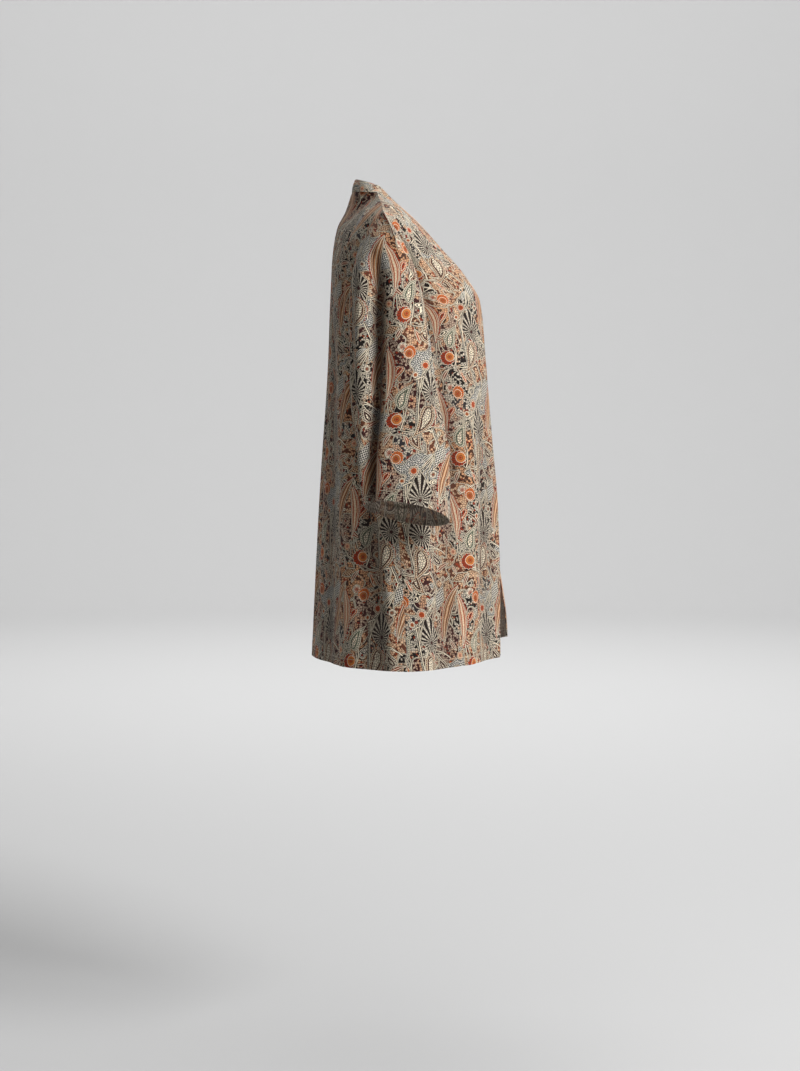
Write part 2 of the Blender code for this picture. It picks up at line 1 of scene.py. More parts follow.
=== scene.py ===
"""Looks of the kimono coat: printed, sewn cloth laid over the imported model.

Metres, +Z up, the wearer faces -Y and the coat's right side is at -X. The tables of sections are the
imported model's own. Every panel is a fine grid of points on the outer face of the cloth, which becomes a
thin shell with small creases of its own. "w" is a distance out from the middle plane and "drop" the
distance down the middle of the back from the neck seam.
"""

import math

import bpy
import numpy as np
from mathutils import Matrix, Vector


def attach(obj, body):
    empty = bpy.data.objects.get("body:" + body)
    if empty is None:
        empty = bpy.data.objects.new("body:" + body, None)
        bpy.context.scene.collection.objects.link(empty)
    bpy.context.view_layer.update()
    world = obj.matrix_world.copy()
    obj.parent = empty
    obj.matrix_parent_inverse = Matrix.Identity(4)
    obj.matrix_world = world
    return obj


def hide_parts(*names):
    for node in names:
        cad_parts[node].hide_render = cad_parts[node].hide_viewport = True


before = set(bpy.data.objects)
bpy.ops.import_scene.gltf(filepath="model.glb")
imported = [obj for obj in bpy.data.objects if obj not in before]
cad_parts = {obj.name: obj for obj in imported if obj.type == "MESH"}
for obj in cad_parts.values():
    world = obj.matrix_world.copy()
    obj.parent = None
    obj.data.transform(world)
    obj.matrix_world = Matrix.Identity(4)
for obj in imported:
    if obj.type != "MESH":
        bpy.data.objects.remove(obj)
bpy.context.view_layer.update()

# Driving dimensions
CLOTH = 0.0010
BAND_CLOTH = 0.0024
SEAM_GAP = 0.0002
SEAM_DIP = 0.0009  # how far the cloth is drawn in along a seam
SEAM_REACH = 0.0035
SHOULDER_ROUND = 0.0035  # how far the ridge of the shoulder seam is rounded off
SHOULDER_REACH = 0.014
HOLLOW_DEPTH = 0.014  # how far the cloth falls in along the front of the armhole
HOLLOW_REACH = 0.017
HOLLOW_STRETCH = (0.03, 0.10, 0.22, 0.35)  # the drops where it starts, is full, begins to fade and ends
FULL_SHADE_FOLD_DEPTH = 0.013  # a fold of this depth gets the full painted shade in the cloth's colour
MITRE_LIMIT = 0.5
HEM_DROP = 0.820
HEM_DEPTH = 0.014  # the turned-up cloth above the lower edge
CUFF_DEPTH = 0.012
UNDERARM_DROP = 0.370
SHOULDER_TIP = (0.190, -0.010, -0.052)
NECK_SIDE = (0.080, 0.003, -0.008)
BACK_NECK_Y = 0.048
BACK_NECK_Z = -0.002
BAND_SIDE = (0.063, -0.002, 0.004)
BAND_BACK_Y = 0.0424
BAND_BACK_Z = 0.020
BAND_ROLL = 0.0012
BAND_STITCH = 0.0022  # how far its stitches lie from its seam and from its free edge
BAND_TOP_STITCH = 0.0020
SHOULDER_CROWN = 0.004
NECK_SHARE = 0.36  # how much of half the back panel's top is neckline
TOP_BLEND = 0.085  # how far down the shape of the shoulder and neck seams is felt
CORNER_BLEND = 0.030
CORNER_BLUR = 0.13
ARMHOLE_BLEND = 0.35  # how far down the sleeve the armhole's shape is felt
ARMHOLE_LENGTH = 0.74
CUFF_LENGTH = 0.35
KICK_FORWARD = 0.017  # the left front's lower corner swings out further than the right one's
KICK_UP = 0.022
KICK_START = 0.60
BACK_WIDTH = 0.30
FRONT_WIDTH = 0.27
BACK_SPAN = 0.22  # rough widths and length, for distances from the seams
FRONT_SPAN = 0.20
SLEEVE_SPAN = 0.30

# Grid sizes
ARMHOLE_ROWS = 72
SKIRT_ROWS = 92
NECK_COLUMNS = 20
FRONT_COLUMNS = 50  # as many as each half of the back has beside its neckline
ARMHOLE_CLOSING = 1.25  # above 1, the armhole's points lie closer together towards the underarm
SLEEVE_ROWS = 96
BAND_COLUMNS = np.array([0, 0.10, 0.24, 0.40, 0.56, 0.72, 0.86, 0.95, 1.0])  # shares across the band

BACK_COLUMN_NAMES = "drop mid_y mid_z mid_pull side_w side_y side_z pull_w pull_y pull_z"
BACK_ROWS = [
    (0.000, 0.0480, -0.002, 0.070, 0.190, -0.010, -0.052, -0.040, 0.010, 0.020),
    (0.035, 0.0590, -0.035, 0.075, 0.195, -0.011, -0.084, -0.014, 0.040, 0.014),
    (0.070, 0.0740, -0.066, 0.085, 0.196, -0.012, -0.118, -0.002, 0.062, 0.010),
    (0.125, 0.0825, -0.120, 0.105, 0.193, -0.012, -0.163, 0.004, 0.080, 0.006),
    (0.170, 0.0850, -0.165, 0.113, 0.190, -0.012, -0.200, 0.006, 0.086, 0.004),
    (0.215, 0.0870, -0.210, 0.115, 0.187, -0.012, -0.236, 0.006, 0.085, 0.002),
    (0.305, 0.0905, -0.300, 0.110, 0.185, -0.012, -0.308, 0.004, 0.074, 0.000),
    (0.370, 0.0940, -0.368, 0.102, 0.187, -0.012, -0.372, 0.001, 0.067, 0.000),
    (0.450, 0.0985, -0.448, 0.100, 0.193, -0.020, -0.450, 0.000, 0.067, 0.000),
    (0.560, 0.1040, -0.560, 0.100, 0.206, -0.031, -0.560, 0.000, 0.072, 0.000),
    (0.700, 0.1110, -0.700, 0.104, 0.228, -0.043, -0.700, -0.001, 0.079, 0.000),
    (0.820, 0.1170, -0.822, 0.110, 0.249, -0.050, -0.822, -0.003, 0.086, 0.000),
]

FRONT_COLUMN_NAMES = "drop edge_w edge_y edge_z pull_out pull_on side_w side_y side_z pull_w pull_y pull_z"
FRONT_ROWS = [
    (0.000, 0.080, 0.003, -0.008, 0.035, -0.004, 0.190, -0.010, -0.052, -0.035, 0.000, 0.014),
    (0.035, 0.080, -0.026, -0.026, 0.036, -0.010, 0.195, -0.011, -0.084, -0.006, -0.036, 0.014),
    (0.070, 0.077, -0.064, -0.062, 0.040, -0.010, 0.196, -0.012, -0.118, -0.004, -0.052, 0.012),
    (0.125, 0.071, -0.111, -0.112, 0.042, -0.010, 0.193, -0.012, -0.163, -0.002, -0.066, 0.010),
    (0.170, 0.065, -0.151, -0.157, 0.045, -0.011, 0.190, -0.012, -0.200, 0.000, -0.078, 0.006),
    (0.215, 0.058, -0.176, -0.200, 0.048, -0.012, 0.187, -0.012, -0.236, 0.002, -0.090, 0.003),
    (0.305, 0.051, -0.186, -0.300, 0.051, -0.012, 0.185, -0.012, -0.308, 0.004, -0.096, 0.000),
    (0.370, 0.050, -0.192, -0.370, 0.052, -0.012, 0.187, -0.012, -0.372, 0.004, -0.096, 0.000),
    (0.450, 0.050, -0.199, -0.450, 0.053, -0.010, 0.193, -0.020, -0.450, 0.004, -0.092, 0.000),
    (0.560, 0.051, -0.206, -0.559, 0.054, -0.006, 0.206, -0.031, -0.560, 0.003, -0.084, 0.000),
    (0.700, 0.053, -0.212, -0.698, 0.056, -0.001, 0.228, -0.043, -0.700, 0.001, -0.070, 0.000),
    (0.820, 0.056, -0.214, -0.817, 0.058, 0.004, 0.249, -0.050, -0.822, 0.000, -0.058, 0.000),
]

# How much of each row lies between its inner edge and the armhole that cuts it.
ARMHOLE_COLUMN_NAMES = "drop back_share front_share"
ARMHOLE_ROWS_TABLE = [
    (0.000, 1.000, 1.000),
    (0.015, 0.870, 0.900),
    (0.035, 0.775, 0.805),
    (0.070, 0.715, 0.735),
    (0.125, 0.700, 0.740),
    (0.170, 0.697, 0.760),
    (0.215, 0.692, 0.770),
    (0.305, 0.690, 0.755),
    (0.335, 0.722, 0.765),
    (0.355, 0.829, 0.840),
    (0.370, 1.000, 1.000),
]

BAND_COLUMN_NAMES = "drop w y z"
BAND_ROWS = [
    (0.000, 0.063, -0.002, 0.004),
    (0.035, 0.061, -0.028, -0.022),
    (0.070, 0.058, -0.066, -0.056),
    (0.125, 0.052, -0.112, -0.106),
    (0.170, 0.045, -0.152, -0.152),
    (0.215, 0.038, -0.177, -0.197),
    (0.305, 0.031, -0.186, -0.300),
    (0.370, 0.030, -0.191, -0.370),
    (0.450, 0.030, -0.198, -0.450),
    (0.560, 0.031, -0.205, -0.560),
    (0.700, 0.033, -0.211, -0.700),
    (0.820, 0.036, -0.213, -0.816),
]

# A sleeve's rings, from the armhole, which stands upright, to the cuff, which lies nearly level.
# "lean" turns the ring's tall axis outwards, "rise" lifts its back.
SLEEVE_COLUMN_NAMES = "along w y z lean half_tall half_back half_front rise"
SLEEVE_ROWS_TABLE = [
    (0.000, 0.188, -0.011, -0.212, 0.7, 0.160, 0.059, 0.060, 0.00),
    (0.090, 0.213, -0.018, -0.238, 4.8, 0.153, 0.068, 0.063, 0.00),
    (0.227, 0.225, -0.025, -0.283, 8.6, 0.134, 0.072, 0.063, 0.00),
    (0.425, 0.233, -0.032, -0.354, 14.0, 0.106, 0.076, 0.064, 0.02),
    (0.620, 0.239, -0.042, -0.427, 21.0, 0.082, 0.078, 0.069, 0.06),
    (0.820, 0.246, -0.050, -0.498, 36.0, 0.059, 0.079, 0.070, 0.13),
    (1.000, 0.256, -0.055, -0.556, 65.0, 0.044, 0.080, 0.065, 0.19),
]


def named(columns, rows):
    """A table's rows with their columns' names."""
    return [dict(zip(columns.split(), row)) for row in rows]


# Soft folds. A fold's line is where its middle lies: (drop, share across the panel) on the body and
# (share along the sleeve, share round from its top line by way of the back) on a sleeve. Its reach says
# where it starts, is full, begins to fade and ends. A negative depth is a trough.
FOLD_COLUMNS = "line reach depth half_width"
BACK_FOLDS = named(FOLD_COLUMNS, [
    (((0.0, 0.30), (0.82, 0.34)), (0.10, 0.34, 0.83, 0.90), -0.0075, 0.030),
    (((0.0, 0.52), (0.82, 0.56)), (0.20, 0.50, 0.83, 0.90), 0.0065, 0.034),
    (((0.0, 0.76), (0.82, 0.78)), (0.16, 0.42, 0.83, 0.90), -0.0080, 0.026),
    (((0.0, 0.00), (0.82, 0.00)), (0.30, 0.60, 0.83, 0.90), 0.0040, 0.034),
])
FRONT_FOLDS = named(FOLD_COLUMNS, [
    (((0.0, 0.40), (0.82, 0.50)), (0.18, 0.42, 0.83, 0.90), 0.0060, 0.020),
    (((0.0, 0.58), (0.82, 0.66)), (0.20, 0.46, 0.83, 0.90), -0.0075, 0.024),
    (((0.0, 0.78), (0.82, 0.82)), (0.40, 0.62, 0.83, 0.90), 0.0050, 0.026),
    (((0.0, 0.22), (0.82, 0.28)), (0.26, 0.50, 0.83, 0.90), -0.0045, 0.020),
])
SLEEVE_FOLDS = named(FOLD_COLUMNS, [
    (((0.0, 0.070), (0.227, 0.044), (0.425, 0.062), (0.62, 0.098), (0.82, 0.158), (1.0, 0.200)),
     (0.08, 0.34, 1.10, 1.20), -0.022, 0.0125),
    (((0.0, 0.090), (0.425, 0.140), (1.0, 0.240)), (0.04, 0.22, 0.70, 1.10), 0.006, 0.020),
    (((0.0, 0.970), (0.5, 0.990), (1.0, 0.060)), (0.12, 0.34, 0.74, 0.97), 0.004, 0.024),
    (((0.0, 0.400), (1.0, 0.360)), (0.30, 0.55, 0.80, 0.98), -0.010, 0.018),
])

# Small creases of the worn cloth, listed in the same way as the folds above.
BACK_CREASES = named(FOLD_COLUMNS, [
    (((0.05, 0.16), (0.82, 0.10)), (0.24, 0.42, 0.70, 0.84), -0.0044, 0.012),
    (((0.05, 0.40), (0.82, 0.46)), (0.30, 0.52, 0.80, 0.90), -0.0042, 0.010),
    (((0.06, 0.62), (0.50, 0.52)), (0.06, 0.13, 0.26, 0.44), -0.0034, 0.010),
    (((0.10, 0.66), (0.40, 0.60)), (0.12, 0.20, 0.34, 0.46), 0.0030, 0.009),
    (((0.34, 0.92), (0.66, 0.68)), (0.35, 0.42, 0.52, 0.66), -0.0040, 0.012),
    (((0.36, 0.84), (0.82, 0.88)), (0.44, 0.60, 0.82, 0.90), 0.0046, 0.013),
    (((0.03, 0.20), (0.30, 0.05)), (0.02, 0.06, 0.12, 0.22), -0.0020, 0.009),
    (((0.50, 0.66), (0.82, 0.68)), (0.54, 0.68, 0.82, 0.90), -0.0046, 0.010),
])
FRONT_CREASES = named(FOLD_COLUMNS, [
    (((0.06, 0.56), (0.40, 0.34)), (0.05, 0.12, 0.22, 0.36), -0.0030, 0.010),
    (((0.06, 0.70), (0.40, 0.60)), (0.08, 0.16, 0.24, 0.40), 0.0026, 0.009),
    (((0.34, 0.94), (0.62, 0.62)), (0.34, 0.40, 0.48, 0.62), -0.0036, 0.011),
    (((0.36, 0.30), (0.82, 0.36)), (0.34, 0.50, 0.66, 0.80), -0.0040, 0.009),
    (((0.40, 0.50), (0.82, 0.56)), (0.52, 0.64, 0.83, 0.90), -0.0048, 0.009),
    (((0.40, 0.72), (0.82, 0.74)), (0.46, 0.60, 0.83, 0.90), -0.0052, 0.010),
    (((0.40, 0.10), (0.82, 0.14)), (0.42, 0.56, 0.83, 0.90), 0.0036, 0.010),
    (((0.02, 0.30), (0.30, 0.18)), (0.03, 0.09, 0.16, 0.28), -0.0018, 0.008),
    (((0.10, 0.70), (0.33, 0.66), (0.56, 0.58)), (0.10, 0.20, 0.48, 0.58), -0.0060, 0.010),
])
SLEEVE_CREASES = named(FOLD_COLUMNS, [
    (((0.0, 0.000), (0.5, 0.030), (1.0, 0.120)), (0.30, 0.46, 0.60, 0.78), -0.0030, 0.009),
    (((0.0, 0.930), (0.5, 0.950), (1.0, 0.010)), (0.05, 0.16, 0.36, 0.56), -0.0026, 0.010),
    (((0.0, 0.200), (0.5, 0.210), (1.0, 0.270)), (0.06, 0.20, 0.52, 0.72), -0.0040, 0.011),
    (((0.0, 0.270), (1.0, 0.330)), (0.18, 0.34, 0.66, 0.90), 0.0036, 0.012),
    (((0.0, 0.820), (0.5, 0.830), (1.0, 0.900)), (0.10, 0.26, 0.56, 0.80), -0.0036, 0.010),
    (((0.0, 0.740), (1.0, 0.780)), (0.22, 0.40, 0.70, 0.92), 0.0030, 0.012),
    (((0.0, 0.640), (1.0, 0.620)), (0.14, 0.34, 0.72, 0.94), -0.0050, 0.013),
])


class Table:
    """Sections of a panel by name. Sizes between two sections lie on curves that never overshoot."""

    def __init__(self, names, rows):
        self.names = names.split()
        self.values = np.array(rows, float)

    def at(self, key):
        keys = self.values[:, 0]
        key = np.clip(key, keys[0], keys[-1])
        return {name: smooth_curve(keys, self.values[:, i], key) for i, name in enumerate(self.names)}


def smooth_curve(xs, ys, x):
    """The value at x of a smooth curve through the points, which rises only where they rise."""
    step = np.diff(xs)
    slope = np.diff(ys) / step
    bend = np.zeros_like(ys)
    bend[0], bend[-1] = slope[0], slope[-1]
    before, after = 2 * step[1:] + step[:-1], step[1:] + 2 * step[:-1]
    for i in range(len(slope) - 1):
        if slope[i] * slope[i + 1] > 0:
            bend[i + 1] = (before[i] + after[i]) / (before[i] / slope[i] + after[i] / slope[i + 1])
    i = np.clip(np.searchsorted(xs, x, side="right") - 1, 0, len(xs) - 2)
    f = (x - xs[i]) / step[i]
    start, end = (1 + 2 * f) * (1 - f) ** 2, f**2 * (3 - 2 * f)
    rise, fall = f * (1 - f) ** 2 * step[i], f**2 * (f - 1) * step[i]
    return start * ys[i] + end * ys[i + 1] + rise * bend[i] + fall * bend[i + 1]


BACK = Table(BACK_COLUMN_NAMES, BACK_ROWS)
FRONT = Table(FRONT_COLUMN_NAMES, FRONT_ROWS)
ARMHOLE = Table(ARMHOLE_COLUMN_NAMES, ARMHOLE_ROWS_TABLE)
BAND = Table(BAND_COLUMN_NAMES, BAND_ROWS)
SLEEVE = Table(SLEEVE_COLUMN_NAMES, SLEEVE_ROWS_TABLE)


def point(w, y, z):
    return np.stack(np.broadcast_arrays(w, y, z), axis=-1).astype(float)


def bezier(start, first, second, end, u):
    u = np.asarray(u)[..., None]
    return (1 - u) ** 3 * start + 3 * (1 - u) ** 2 * u * first + 3 * (1 - u) * u**2 * second + u**3 * end


def ease(x, start, end):
    """0 before start, 1 after end and smooth between them."""
    f = np.clip((x - start) / (end - start), 0, 1)
    return f * f * (3 - 2 * f)


def shoulder_seam(share):
    """A point of the shoulder seam, from the neck (0) to the tip of the shoulder (1)."""
    neck, tip = np.array(NECK_SIDE), np.array(SHOULDER_TIP)
    line = neck + np.asarray(share)[..., None] * (tip - neck)
    line[..., 2] += SHOULDER_CROWN * np.sin(math.pi * np.asarray(share))
    return line


def neck_seam(share):
    """A point of the back neck seam, from the middle of the back (0) to the shoulder seam (1)."""
    turn = np.asarray(share) * math.pi / 2
    return point(
        NECK_SIDE[0] * np.sin(turn),
        NECK_SIDE[1] + (BACK_NECK_Y - NECK_SIDE[1]) * np.cos(turn),
        BACK_NECK_Z + (NECK_SIDE[2] - BACK_NECK_Z) * np.sin(turn) ** 2,
    )


def back_row(u, drop):
    row = BACK.at(drop)
    middle = point(0 * row["mid_y"], row["mid_y"], row["mid_z"])
    side = point(row["side_w"], row["side_y"], row["side_z"])
    first = middle + point(row["mid_pull"], 0, 0)
    second = side + point(row["pull_w"], row["pull_y"], row["pull_z"])
    return bezier(middle, first, second, side, u)


def front_row(u, drop):
    row = FRONT.at(drop)
    edge = point(row["edge_w"], row["edge_y"], row["edge_z"])
    side = point(row["side_w"], row["side_y"], row["side_z"])
    first = edge + point(row["pull_out"], row["pull_on"], 0)
    second = side + point(row["pull_w"], row["pull_y"], row["pull_z"])
    return bezier(edge, first, second, side, u)


def corner_softened(seam_of, row_of, u, drop):
    """How far a row is moved to meet its seam. The seam's corners are felt only close to it."""
    fine = np.linspace(-1, 2, 361)
    inside = 1 - np.abs(1 - np.abs(fine))  # the seam goes on past each end as its own mirror image
    exact = seam_of(inside) - row_of(inside, 0 * inside)
    weights = np.exp(-((np.arange(-60, 61) / 120 / CORNER_BLUR) ** 2))
    weights /= weights.sum()
    soft = np.stack([np.convolve(exact[:, k], weights, mode="same") for k in range(3)], axis=-1)
    ends = (0, 1)
    anchor = [exact[np.argmin(np.abs(fine - end))] - soft[np.argmin(np.abs(fine - end))] for end in ends]
    soft += anchor[0] * (1 - inside)[:, None] + anchor[1] * inside[:, None]
    moved_soft = drawn_along(u, fine, soft)
    moved_exact = seam_of(u) - row_of(u, 0 * u)
    near = (1 - ease(drop, 0, CORNER_BLEND))[..., None]
    far = (1 - ease(drop, 0, TOP_BLEND))[..., None]
    return far * (moved_soft + near * (moved_exact - moved_soft))


def back_top(u):
    """The back panel's top edge: half the neckline, then a shoulder seam."""
    return np.where(
        (u < NECK_SHARE)[..., None],
        neck_seam(np.clip(u / NECK_SHARE, 0, 1)),
        shoulder_seam(np.clip((u - NECK_SHARE) / (1 - NECK_SHARE), 0, 1)),
    )


def back_panel(u, drop):
    """Half the back panel: u from the middle (0) to the armhole or the side seam (1)."""
    u, drop = np.broadcast_arrays(np.asarray(u, float), np.asarray(drop, float))
    across = u * ARMHOLE.at(drop)["back_share"]
    return back_row(across, drop) + corner_softened(back_top, back_row, u, drop)


def front_panel(u, drop):
    """A front panel: u from the band seam (0) to the armhole or the side seam (1)."""
    u, drop = np.broadcast_arrays(np.asarray(u, float), np.asarray(drop, float))
    across = u * ARMHOLE.at(drop)["front_share"]
    felt = (1 - ease(drop, 0, TOP_BLEND))[..., None]
    return front_row(across, drop) + (shoulder_seam(u) - front_row(u, 0 * drop)) * felt


def kicked(points, u, drop):
    """Points of the left front or its band, with the lower corner swung forward and up."""
    share = ease(drop, KICK_START, HEM_DROP) * (1 - np.clip(u, 0, 1)) ** 2
    return points + point(0 * share, -KICK_FORWARD * share, KICK_UP * share)


def armhole_drops(count):
    """Drops of the rows that end at an armhole, spaced along it from the shoulder to the underarm."""
    fine = np.linspace(0, UNDERARM_DROP, 600)
    sides = [back_panel(1.0, fine), front_panel(1.0, fine)]
    lengths = sum(np.linalg.norm(np.diff(side, axis=0), axis=1) for side in sides)
    travelled = np.concatenate([[0], np.cumsum(lengths)])
    wanted = 1 - (1 - np.linspace(0, 1, count + 1)) ** ARMHOLE_CLOSING
    return np.interp(wanted * travelled[-1], travelled, fine)


def armhole(count):
    """The armhole as a closed line of points: from the shoulder tip down the back and up the front."""
    drops = armhole_drops(count)
    down = back_panel(1.0, drops)
    up = front_panel(1.0, drops[::-1])
    return np.concatenate([down, up[1:]])


def followed(u, along):
    """Shares round the sleeve, moved so that one column runs down the middle of the deepest fold."""
    line = fold_line(SLEEVE_FOLDS[0], along)
    start = fold_line(SLEEVE_FOLDS[0], 0.0)
    near = 0.5 + 0.5 * np.cos(2 * math.pi * (u - start))
    return u + (line - start) * near


def drawn_along(shares, marks, points):
    """Points at the given shares of a line whose own points have these marks."""
    return np.stack([np.interp(shares, marks, points[:, k]) for k in range(3)], axis=-1)


def sleeve_ring(u, along):
    """The sleeve's rings with no armhole: u from the top line (0) round by the back to itself (1)."""
    row = SLEEVE.at(along)
    lean = np.radians(row["lean"])
    tall = point(np.sin(lean), 0, np.cos(lean)) * row["half_tall"][..., None]
    level = point(0 * lean, 1, row["rise"])
    fine = np.linspace(0, 2 * math.pi, 361)
    rings = []
    for i in range(len(along)):
        depth = np.where(np.sin(fine) > 0, row["half_back"][i], row["half_front"][i])
        ring = np.outer(np.cos(fine), tall[i]) + np.outer(np.sin(fine) * depth, level[i])
        half = len(fine) // 2
        steps = np.linalg.norm(np.diff(ring, axis=0), axis=1)
        back = np.concatenate([[0], np.cumsum(steps[:half])])
        front = np.concatenate([[0], np.cumsum(steps[half:])])
        travelled = np.concatenate([0.5 * back / back[-1], 0.5 + 0.5 * front[1:] / front[-1]])
        middle = np.array([row["w"][i], row["y"][i], row["z"][i]])
        share = followed(u, along[i]) % 1.0
        rings.append(middle + drawn_along(share, travelled, ring))
    return np.array(rings)


def armhole_shares(points):
    """How far round the armhole its points lie: 0.5 at the underarm and 1 at the shoulder again."""
    steps = np.linalg.norm(np.diff(points, axis=0), axis=1)
    travelled = np.concatenate([[0], np.cumsum(steps)])
    middle = travelled[len(points) // 2]
    front = 0.5 + 0.5 * (travelled - middle) / (travelled[-1] - middle)
    return np.where(travelled < middle, 0.5 * travelled / middle, front)


def sleeve(u, rows, armhole_points, marks):
    """The sleeve as a grid of rings from the armhole to the cuff, its first column repeated at the end."""
    along = np.linspace(0, 1, rows + 1)
    grid = sleeve_ring(u, along)
    felt = np.clip(1 - along / ARMHOLE_BLEND, 0, 1) ** 2
    return grid + felt[:, None, None] * (drawn_along(u, marks, armhole_points) - grid[0]), along


def window(x, stretch):
    """1 inside a stretch given as (start, full, full until, end), and 0 outside it."""
    start, full, until, end = stretch
    return ease(x, start, full) * (1 - ease(x, until, end))


def fold_line(fold, key):
    keys, shares = np.array(fold["line"]).T
    return smooth_curve(keys, shares, np.clip(key, keys[0], keys[-1]))


def panel_folds(folds, u, share, drop, width):
    """How far a panel's folds push its points out. They die away at the side."""
    moved = np.zeros(np.broadcast(u, drop).shape)
    for fold in folds:
        apart = (u * share - fold_line(fold, drop)) * width
        moved += fold["depth"] * np.exp(-((apart / fold["half_width"]) ** 2)) * window(drop, fold["reach"])
    return moved * (1 - ease(u, 0.86, 1.0))


def sleeve_folds(folds, u, along):
    moved = np.zeros(np.broadcast(u, along).shape)
    length = ARMHOLE_LENGTH + (CUFF_LENGTH - ARMHOLE_LENGTH) * along
    for fold in folds:
        apart = (followed(u, along) - fold_line(fold, along) + 0.5) % 1.0 - 0.5
        bump = np.exp(-((apart * length / fold["half_width"]) ** 2))
        moved += fold["depth"] * bump * window(along, fold["reach"])
    return moved


def shared_places(grids):
    """For each point of each grid, the number of its place in space, which touching grids share."""
    points = np.concatenate([g.reshape(-1, 3) for g in grids])
    _, place = np.unique(np.round(points * 1e5), axis=0, return_inverse=True)
    starts = np.cumsum([0] + [g.shape[0] * g.shape[1] for g in grids])
    return [place.reshape(-1)[a:b].reshape(g.shape[:2]) for g, a, b in zip(grids, starts, starts[1:])]


def corner_angles(corner, one, other):
    first, second = one - corner, other - corner
    sizes = np.linalg.norm(first, axis=-1) * np.linalg.norm(second, axis=-1)
    return np.arccos(np.clip((first * second).sum(axis=-1) / np.maximum(sizes, 1e-15), -1, 1))


def grid_normals(grids):
    """The outward normals of each grid, shared by grids where their edge points coincide."""
    places = shared_places(grids)
    total = np.zeros((max(at.max() for at in places) + 1, 3))
    for g, at in zip(grids, places):
        a, b, c, d = g[:-1, :-1], g[:-1, 1:], g[1:, 1:], g[1:, :-1]
        faces = np.cross(b - d, c - a)
        faces /= np.maximum(np.linalg.norm(faces, axis=-1, keepdims=True), 1e-12)
        np.add.at(total, at[:-1, :-1], faces * corner_angles(a, b, d)[..., None])
        np.add.at(total, at[:-1, 1:], faces * corner_angles(b, c, a)[..., None])
        np.add.at(total, at[1:, 1:], faces * corner_angles(c, d, b)[..., None])
        np.add.at(total, at[1:, :-1], faces * corner_angles(d, a, c)[..., None])
    total /= np.maximum(np.linalg.norm(total, axis=-1, keepdims=True), 1e-12)
    return [total[at] for at in places]


def mitred(normals, grids):
    """Shared normals, made longer where pieces meet at an angle so that the walls keep their thickness."""
    places = shared_places(grids)
    total, count = np.zeros((2, max(at.max() for at in places) + 1))
    for normal, grid, at in zip(normals, grids, places):
        own = grid_normals([grid])[0]
        np.add.at(total, at, (normal * own).sum(axis=-1))
        np.add.at(count, at, 1)
    share = np.maximum(total / np.maximum(count, 1), MITRE_LIMIT)
    return [normal / share[at][..., None] for normal, at in zip(normals, places)]


def between_seam_points(depths, shares, marks):
    """The wall's depth round a sleeve's first ring, drawn from the points that the body's panels share."""
    at = [int(np.argmin(np.abs(shares - mark))) for mark in marks]
    return drawn_along(shares, marks, depths[at])


def mirrored(grid):
    """The same grid on the other side of the middle plane, with its faces still pointing out."""
    return (grid * np.array([-1, 1, 1]))[:, ::-1]


def pulled_in(grid, normals, sides):
    """The grid with the named edges drawn in, square to themselves, by half a seam's gap."""
    drawn = grid.copy()
    for side in sides:
        edge, inner = {
            "top": (np.s_[0], np.s_[1]),
            "first": (np.s_[:, 0], np.s_[:, 1]),
            "last": (np.s_[:, -1], np.s_[:, -2]),
        }[side]
        line = grid[edge]
        along = np.gradient(line, axis=0)
        if np.allclose(line[0], line[-1]):
            along[0] = along[-1] = line[1] - line[-2]
        away = np.cross(normals[edge], along)
        away *= np.sign((away * (grid[inner] - line)).sum(axis=-1, keepdims=True))
        drawn[edge] += away / np.linalg.norm(away, axis=-1, keepdims=True) * SEAM_GAP / 2
    return drawn


def body_drops():
    """The drops of the body panels' rows: even along the armhole, then even down to the hem."""
    skirt = np.linspace(UNDERARM_DROP, HEM_DROP, SKIRT_ROWS + 1)
    return np.concatenate([armhole_drops(ARMHOLE_ROWS), skirt[1:]])


def seam_dip(*distances):
    """How far the cloth is drawn in by seams at these distances."""
    return -SEAM_DIP * sum(np.exp(-((d / SEAM_REACH) ** 2)) for d in distances)


def shoulder_round(along, drop):
    """How far the ridge of the shoulder seam is rounded off between its two ends."""
    return -SHOULDER_ROUND * np.sin(math.pi * along) * np.exp(-((drop / SHOULDER_REACH) ** 2))


def armhole_hollow(drop, distance):
    """How far the cloth falls in between the sleeve and the front, at a distance from their seam."""
    return -HOLLOW_DEPTH * window(drop, HOLLOW_STRETCH) * np.exp(-((distance / HOLLOW_REACH) ** 2))


def back_grid(drops):
    neck = np.linspace(0, NECK_SHARE, NECK_COLUMNS + 1)
    shoulder = np.linspace(NECK_SHARE, 1, FRONT_COLUMNS + 1)
    u = np.concatenate([neck, shoulder[1:]])[None, :]
    down = drops[:, None]
    half = back_panel(u, down)
    share = ARMHOLE.at(down)["back_share"]
    left = panel_folds(BACK_FOLDS + BACK_CREASES, u, share, down, BACK_WIDTH)
    right = panel_folds(BACK_FOLDS + shifted(BACK_CREASES), u, share, down, BACK_WIDTH)
    along = np.clip((u - NECK_SHARE) / (1 - NECK_SHARE), 0, 1)
    dip = seam_dip((1 - u) * share * BACK_SPAN, down) + shoulder_round(along, down)
    moved = np.concatenate([(right + dip)[:, ::-1][:, :-1], left + dip], axis=1)
    return np.concatenate([mirrored(half)[:, :-1], half], axis=1), moved


def front_grid(drops, creases):
    u = np.linspace(0, 1, FRONT_COLUMNS + 1)[None, :]
    down = drops[:, None]
    grid = front_panel(u, down)
    share = ARMHOLE.at(down)["front_share"]
    moved = panel_folds(FRONT_FOLDS + creases, u, share, down, FRONT_WIDTH)
    to_side, to_band = (1 - u) * share * FRONT_SPAN, u * share * FRONT_SPAN
    moved += armhole_hollow(down, to_side)
    return grid, moved + seam_dip(to_side, to_band, down) + shoulder_round(u, down)


